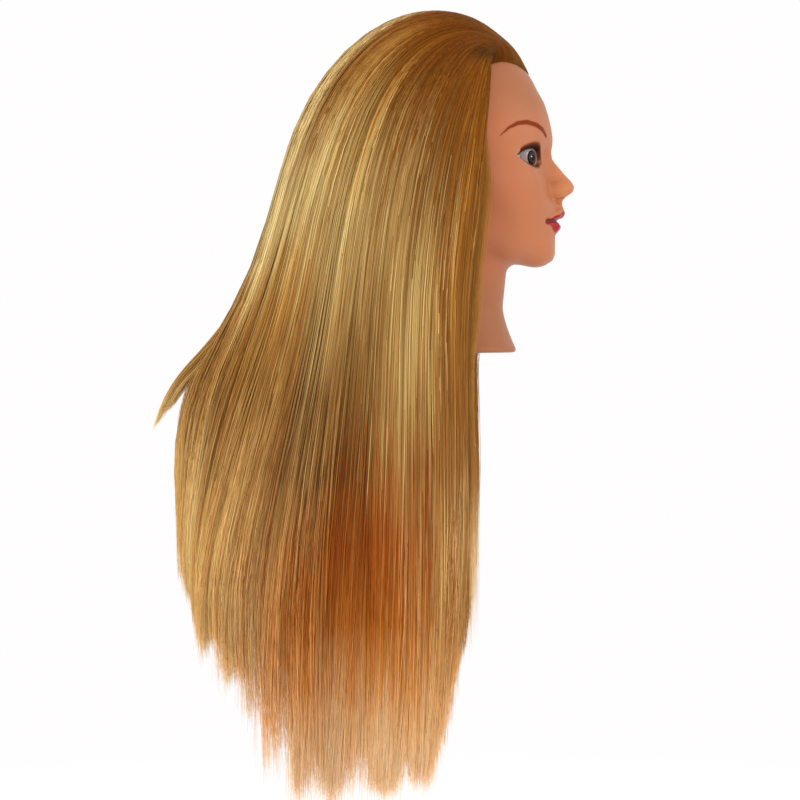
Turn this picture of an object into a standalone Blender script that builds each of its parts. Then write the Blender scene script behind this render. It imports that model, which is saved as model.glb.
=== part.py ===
"""Mannequin training head for hairdressing practice.

A soft vinyl head and neck over a foam core, with inset eyes, a rooted scalp
skin, a clamp socket in the base of the neck, and long straight hair in
sections.  Millimetres in the tables, metres in the scene.  The head looks
along -Y, +Z is up, and the origin is the middle of the socket's mouth.
"""
import bpy
import bmesh
import math
import numpy as np
from mathutils import Vector

for _o in list(bpy.data.objects):
    bpy.data.objects.remove(_o)

# ------------------------------------------------------------ driving sizes
SOCKET_BORE_R = (12.5, 11.0)      # mouth and far end of the tapered socket
SOCKET_WALL = 3.2
SOCKET_DEPTH = 112.0
SOCKET_FLANGE_R = 24.5
PLATE_R = 45.4                    # plate that closes the neck
PLATE_T = 4.0
NECK_OPEN_R = 46.4                # opening in the vinyl that the plate sits in
SHELL_T = 6.5                     # vinyl wall, about
SCALP_T = 2.0                     # rooted scalp skin
SCALP_REBATE = 4.8                # depth of the step in the shell it lies in
IRIS_A = 0.345                    # half angle of the iris, in radians
SIDE_HINGE = (73.0, 110.0)        # |x|, z where a side section turns out
BACK_HINGE = (137.0, 110.0)       # y, z where the back section turns out
SWING = 35.0                      # degrees each section swings
SIDE_Y1 = 95.0                    # back edge of the side sections
HAIR_T = 26.0                     # thickness of the side sections
PART_Z = 111.5                    # where the fixed hair ends and the sections start

# Outline of the hair seen from the side: (z, y) of its back and front edges.
HAIR_BACK = [(297, 27), (280, 66), (262, 86), (245, 102), (227, 114), (209, 125), (192, 134),
             (174, 142), (157, 146), (139, 150), (121, 155), (104, 160), (86, 165), (69, 172),
             (51, 180), (33, 189), (16, 201), (-2, 213), (-19, 222), (-37, 229), (-55, 234),
             (-72, 237), (-120, 238), (-178, 238), (-195, 237), (-213, 234), (-231, 226),
             (-248, 221), (-266, 214), (-283, 198), (-301, 184), (-319, 173), (-336, 163),
             (-354, 155), (-371, 148), (-392, 121)]
HAIR_EDGE = [(255, -42), (239, -39.6), (195, -38), (134, -35), (90, -32), (46, -28), (2, -29),
             (-33, -33), (-72, -34), (-100, -36), (-125, -35), (-160, -30), (-205, -29),
             (-231, -26), (-248, -24), (-266, -20), (-283, -15), (-301, -12), (-319, -7),
             (-336, -4), (-354, 1), (-371, 9), (-392, 30)]
HAIR_TOP = [(297, -12), (292, -29), (287, -37.5), (281.6, -44.5), (276, -51.5), (271, -58.5),
            (266, -63.8), (260, -66.5), (255, -69), (250, -72), (244, -75), (225, -83),
            (196, -88)]
HAIR_WIDE = [(299, 14), (296, 30), (290, 42), (280, 53), (262, 68), (245, 77), (227, 83.5),
             (205, 88), (190, 90), (160, 92.5), (110, 93), (0, 95), (-150, 96), (-300, 92),
             (-392, 84)]

def table(t, z):
    a = np.array(sorted(t), float)
    return np.interp(z, a[:, 0], a[:, 1])

# ---------------------------------------------------------------- head form
# All lengths in this block are millimetres. x is sideways, f is forward of
# the neck axis (f = -y), z is up from the base of the neck.
def _smin(a, b, k):
    h = np.maximum(k - np.abs(a - b), 0.0) / k
    return np.minimum(a, b) - h * h * k * 0.25

def _smax(a, b, k):
    return -_smin(-a, -b, k)

def _ell(x, f, z, c, r):
    u, v, w = (x - c[0]) / r[0], (f - c[1]) / r[1], (z - c[2]) / r[2]
    k0 = np.sqrt(u * u + v * v + w * w) + 1e-9
    k1 = np.sqrt((u / r[0]) ** 2 + (v / r[1]) ** 2 + (w / r[2]) ** 2) + 1e-9
    return k0 * (k0 - 1.0) / k1

def _cone(x, f, z, a, b, ra, rb):
    dx, df, dz = b[0] - a[0], b[1] - a[1], b[2] - a[2]
    ll = dx * dx + df * df + dz * dz
    t = np.clip(((x - a[0]) * dx + (f - a[1]) * df + (z - a[2]) * dz) / ll, 0, 1)
    return np.sqrt((x - a[0] - t * dx) ** 2 + (f - a[1] - t * df) ** 2
                   + (z - a[2] - t * dz) ** 2) - (ra + (rb - ra) * t)

EYE_C = (24.4, 63.0, 168.0)      # centre of the eye's dome
EYE_R = 18.5
EYE_TURN = np.radians(32.0)      # the opening faces this far outwards
GAZE_TURN = np.radians(36.0)     # and so does the iris

def _eye_angles(x, f, z):
    """Direction from the eye's centre: u across (outwards positive), v up."""
    X, F, Z = x - EYE_C[0], f - EYE_C[1], z - EYE_C[2]
    s, c = np.sin(EYE_TURN), np.cos(EYE_TURN)
    fwd, out = X * s + F * c, X * c - F * s
    return np.arctan2(out, fwd), np.arctan2(Z, np.hypot(fwd, out)), fwd

def _lid_gap(x, f, z):
    """Positive outside the almond opening of the lids, in mm along the dome."""
    u, v, fwd = _eye_angles(x, f, z)
    t = np.clip((u + 0.92) / 1.88, 0.0, 1.0)      # 0 inner corner, 1 outer
    arch = np.sin(np.pi * t ** 0.88) ** 0.70
    tilt = -0.135 + 0.19 * t
    up = tilt + 0.50 * arch
    lo = tilt - 0.29 * np.sin(np.pi * t ** 1.05) ** 0.85
    g = np.maximum(v - up, lo - v)
    g = np.maximum(g, np.maximum(-0.92 - u, u - 0.96) * 0.7)
    return np.where(fwd > 2.0, g * EYE_R, 20.0)

def _neck(x, f, z):
    flare = np.clip((40.0 - z) / 40.0, 0, 1.3) ** 1.5
    rf = 50.0 + np.clip(z - 40, 0, 60) * 0.10 + 13.2 * flare
    rx = 47.0 + np.clip(z - 40, 0, 60) * 0.10 + 15.0 * flare
    q = np.sqrt((x / rx) ** 2 + ((f - 1.5) / rf) ** 2) + 1e-9
    return (q - 1.0) * np.minimum(rx, rf) * 0.97

def _raw_d(x, f, z, ears=True, eyes=True):
    d = _ell(x, f, z, (0, -2, 196), (75, 86, 89))                 # cranium
    d = _smin(d, _ell(x, f, z, (0, 8, 180), (64, 87, 83)), 15)    # forehead
    d = _smin(d, _ell(x, f, z, (0, 22, 142), (58, 69, 62)), 18)   # mid face
    d = _smin(d, _ell(x, f, z, (36, 52, 147), (22, 26, 20)), 18)  # cheekbones
    d = _smin(d, _ell(x, f, z, (22, 64, 122), (25, 25, 27)), 16)  # cheeks
    jaw = _cone(x, f, z, (11, 80, 92), (37, 24, 106), 14.0, 15)
    jaw = _smin(jaw, _cone(x, f, z, (37, 24, 106), (47, 6, 150), 15, 14), 12)
    jaw = _smin(jaw, _ell(x, f, z, (0, 46, 98), (42, 40, 22.5)), 10)
    d = _smin(d, jaw, 16)
    chin = _cone(x, f, z, (0, 85.0, 99), (0, 82.5, 91), 12.0, 14.2)
    chin = _smin(chin, _cone(x, f, z, (0, 82, 90.5), (9, 79.5, 90.5), 14, 13.2), 4)
    d = _smin(d, chin, 11)
    # muzzle under the lips and nose
    d = _smin(d, _ell(x, f, z, (0, 70, 117), (31, 28.5, 26)), 12)
    d = _smin(d, _cone(x, f, z, (0, 98.6, 135), (0, 99.0, 125.5), 3.8, 4.4), 9)
    # eye sockets and the brow above them
    d = _smax(d, -_ell(x, f, z, (28, 98.0, 166), (20, 12.5, 12.0)), 15)
    d = _smin(d, _cone(x, f, z, (0, 86.0, 189), (26, 76.0, 193), 5.0, 4.0), 16)
    # nose
    nose = _cone(x, f, z, (0, 88.6, 174), (0, 96.6, 158), 4.6, 4.8)
    nose = _smin(nose, _cone(x, f, z, (0, 96.6, 158), (0, 105.4, 144.8), 4.8, 8.0), 3)
    d = _smin(d, nose, 10)
    d = _smin(d, _ell(x, f, z, (0, 104.6, 143.8), (8.4, 9.2, 8.2)), 5)
    d = _smin(d, _ell(x, f, z, (9.0, 98.4, 141.0), (5.6, 8.4, 6.0)), 5)
    d = _smax(d, -_ell(x, f, z, (5.2, 101.8, 133.6), (2.5, 4.6, 4.0)), 2.2)
    # philtrum
    d = _smax(d, -_cone(x, f, z, (0, 107.4, 131), (0, 108.2, 125.5), 3.0, 3.4), 3)
    # lips
    up = _cone(x, f, z, (3.4, 100.6, 120.4), (11, 97.6, 119.4), 4.6, 4.0)
    up = _smin(up, _cone(x, f, z, (11, 97.6, 119.4), (22.0, 88.6, 115.0), 4.0, 1.2), 3)
    lo = _cone(x, f, z, (0, 97.4, 109.8), (8, 96.4, 110.2), 5.4, 5.0)
    lo = _smin(lo, _cone(x, f, z, (8, 96.4, 110.2), (21.0, 88.4, 113.6), 5.0, 1.2), 3)
    d = _smin(d, up, 3.0)
    d = _smin(d, lo, 3.0)
    d = _smax(d, -_cone(x, f, z, (0, 103.4, 115.0), (12, 100.0, 115.6), 1.7, 1.4), 2.0)
    d = _smax(d, -_cone(x, f, z, (12, 100.0, 115.6), (24.0, 90.5, 114.2), 1.4, 0.8), 2.0)
    # corner of the mouth
    d = _smax(d, -_ell(x, f, z, (25.0, 92.0, 113.8), (3.4, 3.0, 2.8)), 4)
    # lids over the eye's dome, then the opening between them
    if eyes:
        r = np.sqrt((x - EYE_C[0]) ** 2 + (f - EYE_C[1]) ** 2 + (z - EYE_C[2]) ** 2)
        near = np.where(f > EYE_C[1] - 8, r - (EYE_R + 1.7), 30.0)
        d = _smin(d, near, 6)
        gap = _lid_gap(x, f, z)
        d = _smax(d, -np.maximum(gap, EYE_R - 7.0 - r), 1.1)
    # neck
    d = _smin(d, np.maximum(_neck(x, f, z), z - 150), 7)
    if ears:
        # ear: a tilted dish with a rolled rim, standing off the side of the head
        X, F, Z = x - 71.0, f + 6.0, z - 156.0
        ca, sa = np.cos(np.radians(10)), np.sin(np.radians(10))
        F, Z = F * ca - Z * sa, F * sa + Z * ca
        cb, sb = np.cos(np.radians(20)), np.sin(np.radians(20))
        X, F = X * cb + F * sb, -X * sb + F * cb
        q = np.sqrt((F / (16.5 - 3.0 * (Z < 0) * np.clip(-Z / 30, 0, 1))) ** 2 + (Z / 30.0) ** 2)
        dish = np.maximum(np.abs(X - 1.0) - 2.6, (q - 0.92) * 15)
        rim = np.sqrt(((q - 0.86) * 16) ** 2 + (X - 3.4) ** 2) - 2.9
        ear = _smin(dish, rim, 2.5)
        anti = np.sqrt(((q - 0.5) * 15) ** 2 + (X - 3.2) ** 2) - 1.9
        ear = _smin(ear, np.where(F < 3, anti, 9.0), 2.5)
        ear = _smin(ear, _ell(X, F, Z, (2.2, 10.5, -3), (3.4, 3.6, 4.8)), 2.5)
        ear = _smin(ear, _ell(X, F, Z, (1.8, 1.5, -25), (3.2, 7.5, 7.5)), 3)
        ear = _smax(ear, -_ell(X, F, Z, (6.0, 1.5, -5), (4.0, 6.0, 8.5)), 2)
        ear = np.maximum(ear, -(x - 58))
        d = _smin(d, ear, 4)
    return d

# How far forward the middle of the face comes, at each height.
PROFILE = [(240, 75.0), (229, 81.4), (218, 87.6), (207, 91.2), (197, 93.6), (188, 95.0),
           (182, 94.9), (175, 93.7), (169, 94.6), (165.4, 97.2), (160.2, 101.6),
           (154.9, 106.0), (150, 110.8), (147.3, 112.7), (144.3, 114.0), (140.6, 113.0),
           (138.4, 110.4), (135.5, 106.0), (132.5, 103.7), (128.5, 103.5), (125, 104.9),
           (121.6, 105.1), (119.4, 104.0), (117.4, 101.6), (114.8, 98.2), (112.6, 100.8),
           (110.2, 102.5), (107.6, 101.8), (105.2, 99.5), (102.2, 97.4), (95, 97.2),
           (86, 97.2), (81, 95.4), (78.6, 92.5), (76.8, 87.5)]

def _shift_table():
    zs = np.arange(77.0, 241.0, 0.5)
    lo, hi = np.full_like(zs, 70.0), np.full_like(zs, 125.0)
    for _ in range(30):
        mid = (lo + hi) / 2
        inside = _raw_d(np.zeros_like(zs), mid, zs, False, False) < 0
        lo, hi = np.where(inside, mid, lo), np.where(inside, hi, mid)
    t = np.array(PROFILE[::-1], float)
    want = np.interp(zs, t[:, 0], t[:, 1])
    k = np.array([1, 2, 3, 2, 1.0]); k /= k.sum()
    want = np.convolve(np.pad(want, 2, "edge"), k, "valid")
    s = np.clip(want - (lo + hi) / 2, -5, 5)
    s *= np.clip((zs - 77) / 3.0, 0, 1) * np.clip((241 - zs) / 12.0, 0, 1)
    return zs, s

def head_d(x, f, z, ears=True, eyes=True):
    """Signed distance, about, to the outside of the head and neck."""
    x = np.abs(x)
    s = np.interp(z, SHIFT[0], SHIFT[1], 0.0, 0.0)
    wide = np.interp(z, (77, 95, 104, 125, 134, 150, 168, 186, 215), (22, 24, 20, 18, 12, 11, 13, 34, 50))
    g = f - s * np.exp(-(x / wide) ** 2) * np.clip((f - 60.0) / 15.0, 0, 1)
    d = _raw_d(x, g, z, ears, eyes)
    return _smax(d, -z, 5.0)      # flat base with a rounded foot

SHIFT = _shift_table()

def skin(fn, xs, ys, zs):
    """Closed triangle mesh of fn = 0, cut through six tetrahedra in each cell."""
    nx, ny, nz = len(xs), len(ys), len(zs)
    X, Y, Z = np.meshgrid(xs, ys, zs, indexing="ij")
    D = np.asarray(fn(X.ravel(), Y.ravel(), Z.ravel()), float)
    D = np.where(np.abs(D) < 1e-3, 1e-3, D)
    P = np.stack([X.ravel(), Y.ravel(), Z.ravel()], 1)
    ins = (D < 0).reshape(nx, ny, nz)
    cnt = np.zeros((nx - 1, ny - 1, nz - 1), np.int8)
    corner = [(0, 0, 0), (1, 0, 0), (1, 1, 0), (0, 1, 0), (0, 0, 1), (1, 0, 1), (1, 1, 1), (0, 1, 1)]
    for a, b, c in corner:
        cnt += ins[a:nx - 1 + a, b:ny - 1 + b, c:nz - 1 + c]
    ci, cj, ck = np.nonzero((cnt > 0) & (cnt < 8))
    gid = [((ci + a) * ny + (cj + b)) * nz + (ck + c) for a, b, c in corner]
    tets = [(0, 5, 1, 6), (0, 1, 2, 6), (0, 2, 3, 6), (0, 3, 7, 6), (0, 7, 4, 6), (0, 4, 5, 6)]
    tri = []
    for t in tets:
        g = np.stack([gid[i] for i in t], 1)
        s = D[g] < 0
        code = s[:, 0] * 1 + s[:, 1] * 2 + s[:, 2] * 4 + s[:, 3] * 8
        for c in range(1, 15):
            m = code == c
            if not m.any():
                continue
            q = g[m]
            i = [k for k in range(4) if c >> k & 1]
            o = [k for k in range(4) if not c >> k & 1]
            if len(i) == 1:
                tri.append(np.stack([q[:, [i[0], k]] for k in o], 1))
            elif len(i) == 3:
                tri.append(np.stack([q[:, [k, o[0]]] for k in i], 1))
            else:
                a, b, c2, d = (i[0], o[0]), (i[0], o[1]), (i[1], o[1]), (i[1], o[0])
                tri.append(np.stack([q[:, list(a)], q[:, list(b)], q[:, list(c2)]], 1))
                tri.append(np.stack([q[:, list(a)], q[:, list(c2)], q[:, list(d)]], 1))
    T = np.concatenate(tri)                      # triangles of edges of grid points
    T.sort(axis=2)
    key = T[:, :, 0].astype(np.int64) * len(D) + T[:, :, 1]
    uniq, inv = np.unique(key, return_inverse=True)
    a, b = uniq // len(D), uniq % len(D)
    w = np.clip(D[a] / (D[a] - D[b]), 0.06, 0.94)
    V = P[a] + (P[b] - P[a]) * w[:, None]
    F = inv.reshape(-1, 3)
    # turn every triangle so that it faces up the field
    n = np.cross(V[F[:, 1]] - V[F[:, 0]], V[F[:, 2]] - V[F[:, 0]])
    c = V[F].mean(1)
    up = np.stack([np.gradient(D.reshape(nx, ny, nz), xs, axis=0).ravel(),
                   np.gradient(D.reshape(nx, ny, nz), ys, axis=1).ravel(),
                   np.gradient(D.reshape(nx, ny, nz), zs, axis=2).ravel()], 1)
    g = up[a][F].mean(1) + up[b][F].mean(1)
    F = np.where((np.einsum("ij,ij->i", n, g) < 0)[:, None], F[:, ::-1], F)
    return V, F


# -------------------------------------------------------------- mesh helpers
def make(name, V, F, colour, rough, metal=0.0, smooth=True, tris=None):
    """A closed solid from points in millimetres (x, y, z)."""
    me = bpy.data.meshes.new(name)
    me.from_pydata((np.asarray(V, float) / 1000.0).tolist(), [], [list(map(int, f)) for f in F])
    me.update()
    bm = bmesh.new()
    bm.from_mesh(me)
    bmesh.ops.remove_doubles(bm, verts=bm.verts, dist=1e-6)
    if tris:
        bmesh.ops.triangulate(bm, faces=bm.faces)
    bmesh.ops.recalc_face_normals(bm, faces=bm.faces)
    bm.to_mesh(me)
    bm.free()
    ob = bpy.data.objects.new(name, me)
    bpy.context.scene.collection.objects.link(ob)
    if tris and len(me.polygons) > tris:
        mod = ob.modifiers.new("fewer", "DECIMATE")
        mod.ratio = tris / len(me.polygons)
        dg = bpy.context.evaluated_depsgraph_get()
        new = bpy.data.meshes.new_from_object(ob.evaluated_get(dg))
        ob.modifiers.clear()
        ob.data = new
        bpy.data.meshes.remove(me)
        me = new
        me.name = name
    if smooth:
        me.shade_smooth()
    mat = bpy.data.materials.new(name)
    mat.use_nodes = True
    b = mat.node_tree.nodes["Principled BSDF"]
    b.inputs["Base Color"].default_value = (*colour, 1.0)
    b.inputs["Roughness"].default_value = rough
    b.inputs["Metallic"].default_value = metal
    me.materials.clear()
    me.materials.append(mat)
    return ob


def biggest(V, F):
    """Only the largest connected piece of a mesh."""
    lab = np.arange(len(V))
    while True:
        m = lab[F].min(1)
        new = lab.copy()
        np.minimum.at(new, F.ravel(), np.repeat(m, F.shape[1]))
        new = new[new]
        if (new == lab).all():
            break
        lab = new
    vals, cnt = np.unique(lab[F[:, 0]], return_counts=True)
    F = F[lab[F[:, 0]] == vals[cnt.argmax()]]
    used, inv = np.unique(F, return_inverse=True)
    return V[used], inv.reshape(F.shape)


def settle(fn, V, steps=3, reach=1.2):
    """Pull a net's points onto the surface fn = 0."""
    for _ in range(steps):
        x, y, z = V.T
        e = 0.3
        d = fn(x, y, z)
        g = np.stack([fn(x + e, y, z) - fn(x - e, y, z), fn(x, y + e, z) - fn(x, y - e, z),
                      fn(x, y, z + e) - fn(x, y, z - e)], 1) / (2 * e)
        gg = np.maximum((g * g).sum(1), 0.25)
        V = V - np.clip(d / gg, -reach, reach)[:, None] * g * 0.8
    return V


def span(lo, hi, step, fine=None):
    out = [lo]
    while out[-1] < hi:
        s = step
        if fine and fine[0] <= out[-1] < fine[1]:
            s = fine[2]
        out.append(out[-1] + s)
    return np.array(out)


def lathe(loop, n):
    """A ring turned from a closed loop of (radius, z)."""
    V, F = [], []
    m = len(loop)
    for i in range(n):
        a = 2 * math.pi * i / n
        V += [(r * math.cos(a), r * math.sin(a), z) for r, z in loop]
    for i in range(n):
        for j in range(m):
            a, b = i * m + j, i * m + (j + 1) % m
            c, d = ((i + 1) % n) * m + (j + 1) % m, ((i + 1) % n) * m + j
            F.append((a, d, c, b))
    return V, F


def slab(outer, inner):
    """A closed solid between two sheets of points, each [level][rib]."""
    O, I = np.asarray(outer, float), np.asarray(inner, float)
    k, n, _ = O.shape
    V = np.concatenate([O.reshape(-1, 3), I.reshape(-1, 3)])
    o = lambda a, b: a * n + b
    i = lambda a, b: k * n + a * n + b
    F = []
    for a in range(k - 1):
        for b in range(n - 1):
            F.append((o(a, b), o(a, b + 1), o(a + 1, b + 1), o(a + 1, b)))
            F.append((i(a, b), i(a + 1, b), i(a + 1, b + 1), i(a, b + 1)))
        F.append((o(a, 0), o(a + 1, 0), i(a + 1, 0), i(a, 0)))
        F.append((o(a, n - 1), i(a, n - 1), i(a + 1, n - 1), o(a + 1, n - 1)))
    for b in range(n - 1):
        F.append((o(0, b), i(0, b), i(0, b + 1), o(0, b + 1)))
        F.append((o(k - 1, b), o(k - 1, b + 1), i(k - 1, b + 1), i(k - 1, b)))
    return V, F


# ------------------------------------------------------------------ the hair
def hair_x(y, z, w=None):
    """Half width of the hair at y on the level z."""
    w = table(HAIR_WIDE, z) if w is None else w
    back = table(HAIR_BACK, z)
    t = np.clip((y - 60.0) / np.maximum(back - 60.0, 5.0), 0, 1)
    return w * (1 - t ** 2.3) ** (1 / 2.3)


def hair_d(x, y, z):
    """About the distance to the outside of the hair, over the head."""
    w = table(HAIR_WIDE, z)
    back, front = table(HAIR_BACK, z), table(HAIR_TOP, z)
    mid = 8.0
    t = np.where(y > mid, (y - mid) / np.maximum(back - mid, 4.0),
                 (mid - y) / np.maximum(mid - front, 4.0))
    q = ((np.abs(x) / w) ** 2.15 + t ** 2.15) ** (1 / 2.15)
    d = (q - 1) * np.minimum(w, 70.0)
    return np.maximum(d, z - 299.0)


def hairline(x):
    """Height of the hairline across the forehead."""
    t = np.clip(np.abs(x) / 22.0, 0, 1)
    return 243.0 + 14.0 * t * t * (3 - 2 * t)


def open_face(x, y, z):
    """Negative where hair grows: above the hairline, or behind the side edge."""
    return np.minimum(hairline(x) - z, table(HAIR_EDGE, z) - y)


def cap_zone(x, y, z):
    """Negative on the part of the head that the scalp skin covers."""
    low = 150.0 - 45.0 * np.clip((y - 5.0) / 45.0, 0, 1)
    a = np.minimum(hairline(x) - z, table(HAIR_EDGE, z) + 3.0 - y)
    return np.maximum(a, low + 36.0 * np.clip((20.0 - y) / 25.0, 0, 1) - z)


# ------------------------------------------------------- head, core and base
def cavity(x, f, z):
    d = _ell(x, f, z, (0, -2, 196), (75 - SHELL_T - 3.0, 86 - SHELL_T - 3.0, 89 - SHELL_T - 3.0))
    d = _smin(d, _ell(x, f, z, (0, 12, 142), (47, 48, 46)), 10)
    d = _smin(d, _cone(x, f, z, (0, 1.5, 20), (0, 1.5, 130), 40.0, 42.0), 8)
    return d


def shell_d(x, y, z):
    f = -y
    d = head_d(x, f, z)
    cut = np.maximum(cap_zone(x, y, z), -(d + SCALP_REBATE))
    d = np.maximum(d, -cut)
    d = np.maximum(d, -cavity(x, f, z))
    mouth = np.maximum(np.hypot(x, y) - NECK_OPEN_R, z - 12.0)
    d = np.maximum(d, -mouth)
    throat = np.maximum(np.hypot(x, y) - 38.0, z - 60.0)
    return np.maximum(d, -throat)


def build_shell():
    xs = span(-96.3, 96, 3.4, (-56, 56, 2.6))
    ys = span(-119.3, 94, 3.6, (-122, -52, 2.4))
    zs = span(-5.1, 292, 3.6, (74, 212, 2.5))
    V, F = skin(shell_d, xs, ys, zs)
    V, F = biggest(V, F)
    V = settle(shell_d, V, 3, 0.8)
    V[:, 2] = np.where(V[:, 2] < 0.5, 0.0, V[:, 2])
    return make("head_shell", V, F, (0.62, 0.33, 0.21), 0.45, tris=SHELL_TRIS)


SHELL_TRIS = 6200
CORE_GAP = 1.2


def build_core():
    def core(x, y, z):
        d = cavity(x, -y, z) + CORE_GAP
        d = np.maximum(d, 34.0 - z)
        bore = np.maximum(np.hypot(x, y) - 18.5, z - 124.0)
        return np.maximum(d, -bore)
    V, F = skin(core, span(-80.2, 80, 5.0, (-24, 24, 3.0)),
                        span(-92.2, 86, 5.0, (-24, 24, 3.0)), span(26.2, 286, 5.0))
    V, F = biggest(V, F)
    V = settle(core, V, 2, 0.8)
    return make("foam_core", V, F, (0.80, 0.78, 0.70), 0.9, tris=1200)


def surface_r(dx, df, dz, c, lo=30.0, hi=150.0):
    """How far the head's surface is from c along each direction."""
    lo, hi = np.full(dx.shape, lo), np.full(dx.shape, hi)
    for _ in range(26):
        mid = (lo + hi) / 2
        ins = head_d(c[0] + dx * mid, c[1] + df * mid, c[2] + dz * mid, False, False) < 0
        lo, hi = np.where(ins, mid, lo), np.where(ins, hi, mid)
    return (lo + hi) / 2


def build_scalp():
    n, rows = 48, 10
    c = (0.0, -2.0, 190.0)
    th = np.arange(n) * 2 * math.pi / n + 0.03
    # how far down from the crown the skin reaches, along each direction
    edge = np.zeros(n)
    for i, a in enumerate(th):
        ph = np.radians(np.arange(8.0, 150.0, 0.5))
        dx, df, dz = np.sin(a) * np.sin(ph), np.cos(a) * np.sin(ph), np.cos(ph)
        r = surface_r(dx, df, dz, c)
        zone = cap_zone(c[0] + dx * r, -(c[1] + df * r), c[2] + dz * r)
        bad = np.nonzero(zone > -5.2)[0]
        edge[i] = ph[bad[0]] if len(bad) else ph[-1]
    for _ in range(1):
        edge = np.minimum(edge, 0.25 * np.roll(edge, 1) + 0.5 * edge + 0.25 * np.roll(edge, -1))
    V, F = [], []
    for k, cut in enumerate((0.3, 0.3 + SCALP_T)):
        for j in range(1, rows + 1):
            ph = edge * (j / rows)
            dx, df, dz = np.sin(th) * np.sin(ph), np.cos(th) * np.sin(ph), np.cos(ph)
            r = surface_r(dx, df, dz, c) - cut
            V.append(np.stack([c[0] + dx * r, -(c[1] + df * r), c[2] + dz * r], 1))
    V = np.concatenate(V)
    top = surface_r(np.zeros(1), np.zeros(1), np.ones(1), c)[0]
    V = np.concatenate([V, [(0, -c[1], c[2] + top - 0.3), (0, -c[1], c[2] + top - 0.3 - SCALP_T)]])
    at = lambda k, j, i: (k * rows + j) * n + i % n
    for k in (0, 1):
        for i in range(n):
            F.append((2 * rows * n + k, at(k, 0, i), at(k, 0, i + 1)))
            for j in range(rows - 1):
                F.append((at(k, j, i), at(k, j + 1, i), at(k, j + 1, i + 1), at(k, j, i + 1)))
    for i in range(n):
        F.append((at(0, rows - 1, i), at(1, rows - 1, i), at(1, rows - 1, i + 1), at(0, rows - 1, i + 1)))
    return make("scalp_cap", V, F, (0.55, 0.36, 0.20), 0.6)


def build_socket():
    r0, r1 = SOCKET_BORE_R
    h = SOCKET_DEPTH
    w = SOCKET_WALL
    n = 48
    loop = [(r0, 0.0), (SOCKET_FLANGE_R, 0.0), (SOCKET_FLANGE_R, PLATE_T), (r0 + w, PLATE_T),
            (r1 + w, h + w), (6.0, h + w), (6.0, h), (r1, h)]
    V, F = lathe(loop, n)
    make("clamp_socket", V, F, (0.03, 0.03, 0.03), 0.4, smooth=False)
    ri = SOCKET_FLANGE_R + 0.6
    loop = [(ri, 0.0), (PLATE_R, 0.0), (PLATE_R, PLATE_T), (ri, PLATE_T)]
    V, F = lathe(loop, 64)
    make("neck_base_plate", V, F, (0.50, 0.27, 0.17), 0.5, smooth=False)


# ---------------------------------------------------------------------- eyes
def eye_point(u, v, r, side):
    s, c = math.sin(EYE_TURN), math.cos(EYE_TURN)
    fwd, out, up = r * math.cos(v) * math.cos(u), r * math.cos(v) * math.sin(u), r * math.sin(v)
    x = EYE_C[0] + fwd * s + out * c
    f = EYE_C[1] + fwd * c - out * s
    return (side * x, -f, EYE_C[2] + up)


def almond(n, inset):
    """Outline of the opening in (u, v), drawn in by inset mm."""
    pts = []
    for i in range(n):
        a = 2 * math.pi * i / n
        lo, hi = 0.0, 1.6
        for _ in range(30):
            m = (lo + hi) / 2
            u, v = m * math.cos(a) + 0.02, m * math.sin(a) * 0.7 + 0.02
            p = eye_point(u, v, EYE_R, 1)
            g = _lid_gap(np.array([p[0]]), np.array([-p[1]]), np.array([p[2]]))[0]
            lo, hi = (m, hi) if g < -inset else (lo, m)
        pts.append((lo * math.cos(a) + 0.02, lo * math.sin(a) * 0.7 + 0.02))
    return pts


def dome(name, outline, centre, r_out, r_in, side, rings, colour, rough):
    V, F = [], []
    n = len(outline)
    for r in (r_out, r_in):
        for j in range(1, rings + 1):
            t = j / rings
            for u, v in outline:
                V.append(eye_point(centre[0] + (u - centre[0]) * t, centre[1] + (v - centre[1]) * t, r, side))
        V.append(eye_point(centre[0], centre[1], r, side))
    m = rings * n + 1
    for k in (0, 1):
        b = k * m
        for i in range(n):
            j2 = (i + 1) % n
            F.append((b + m - 1, b + i, b + j2))
            for j in range(rings - 1):
                F.append((b + j * n + i, b + (j + 1) * n + i, b + (j + 1) * n + j2, b + j * n + j2))
    e = (rings - 1) * n
    for i in range(n):
        j2 = (i + 1) % n
        F.append((e + i, m + e + i, m + e + j2, e + j2))
    return make(name, V, F, colour, rough)


def build_eyes():
    ring = almond(20, 1.7)
    lens = almond(20, 1.4)
    gaze = GAZE_TURN - EYE_TURN
    circle = [(gaze + IRIS_A * math.cos(2 * math.pi * i / 20), 0.02 + IRIS_A * math.sin(2 * math.pi * i / 20))
              for i in range(20)]
    # the iris is cut off where the lids cross it
    keep = []
    for u, v in circle:
        m = 1.0
        for k in range(40):
            q = 1 - k / 40
            p = eye_point(gaze + (u - gaze) * q, 0.02 + (v - 0.02) * q, EYE_R, 1)
            if _lid_gap(np.array([p[0]]), np.array([-p[1]]), np.array([p[2]]))[0] < -1.8:
                m = q
                break
        keep.append((gaze + (u - gaze) * m, 0.02 + (v - 0.02) * m))
    for side, tag in ((-1, "right"), (1, "left")):
        dome("eye_white_" + tag, ring, (0.02, 0.02), EYE_R - 1.5, EYE_R - 5.5, side, 3, (0.82, 0.80, 0.78), 0.2)
        dome("iris_" + tag, keep, (gaze, 0.02), EYE_R - 0.6, EYE_R - 1.2, side, 2, (0.13, 0.10, 0.085), 0.2)
        dome("cornea_" + tag, lens, (0.02, 0.02), EYE_R + 0.5, EYE_R - 0.3, side, 3, (0.95, 0.95, 0.95), 0.05)


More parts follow.
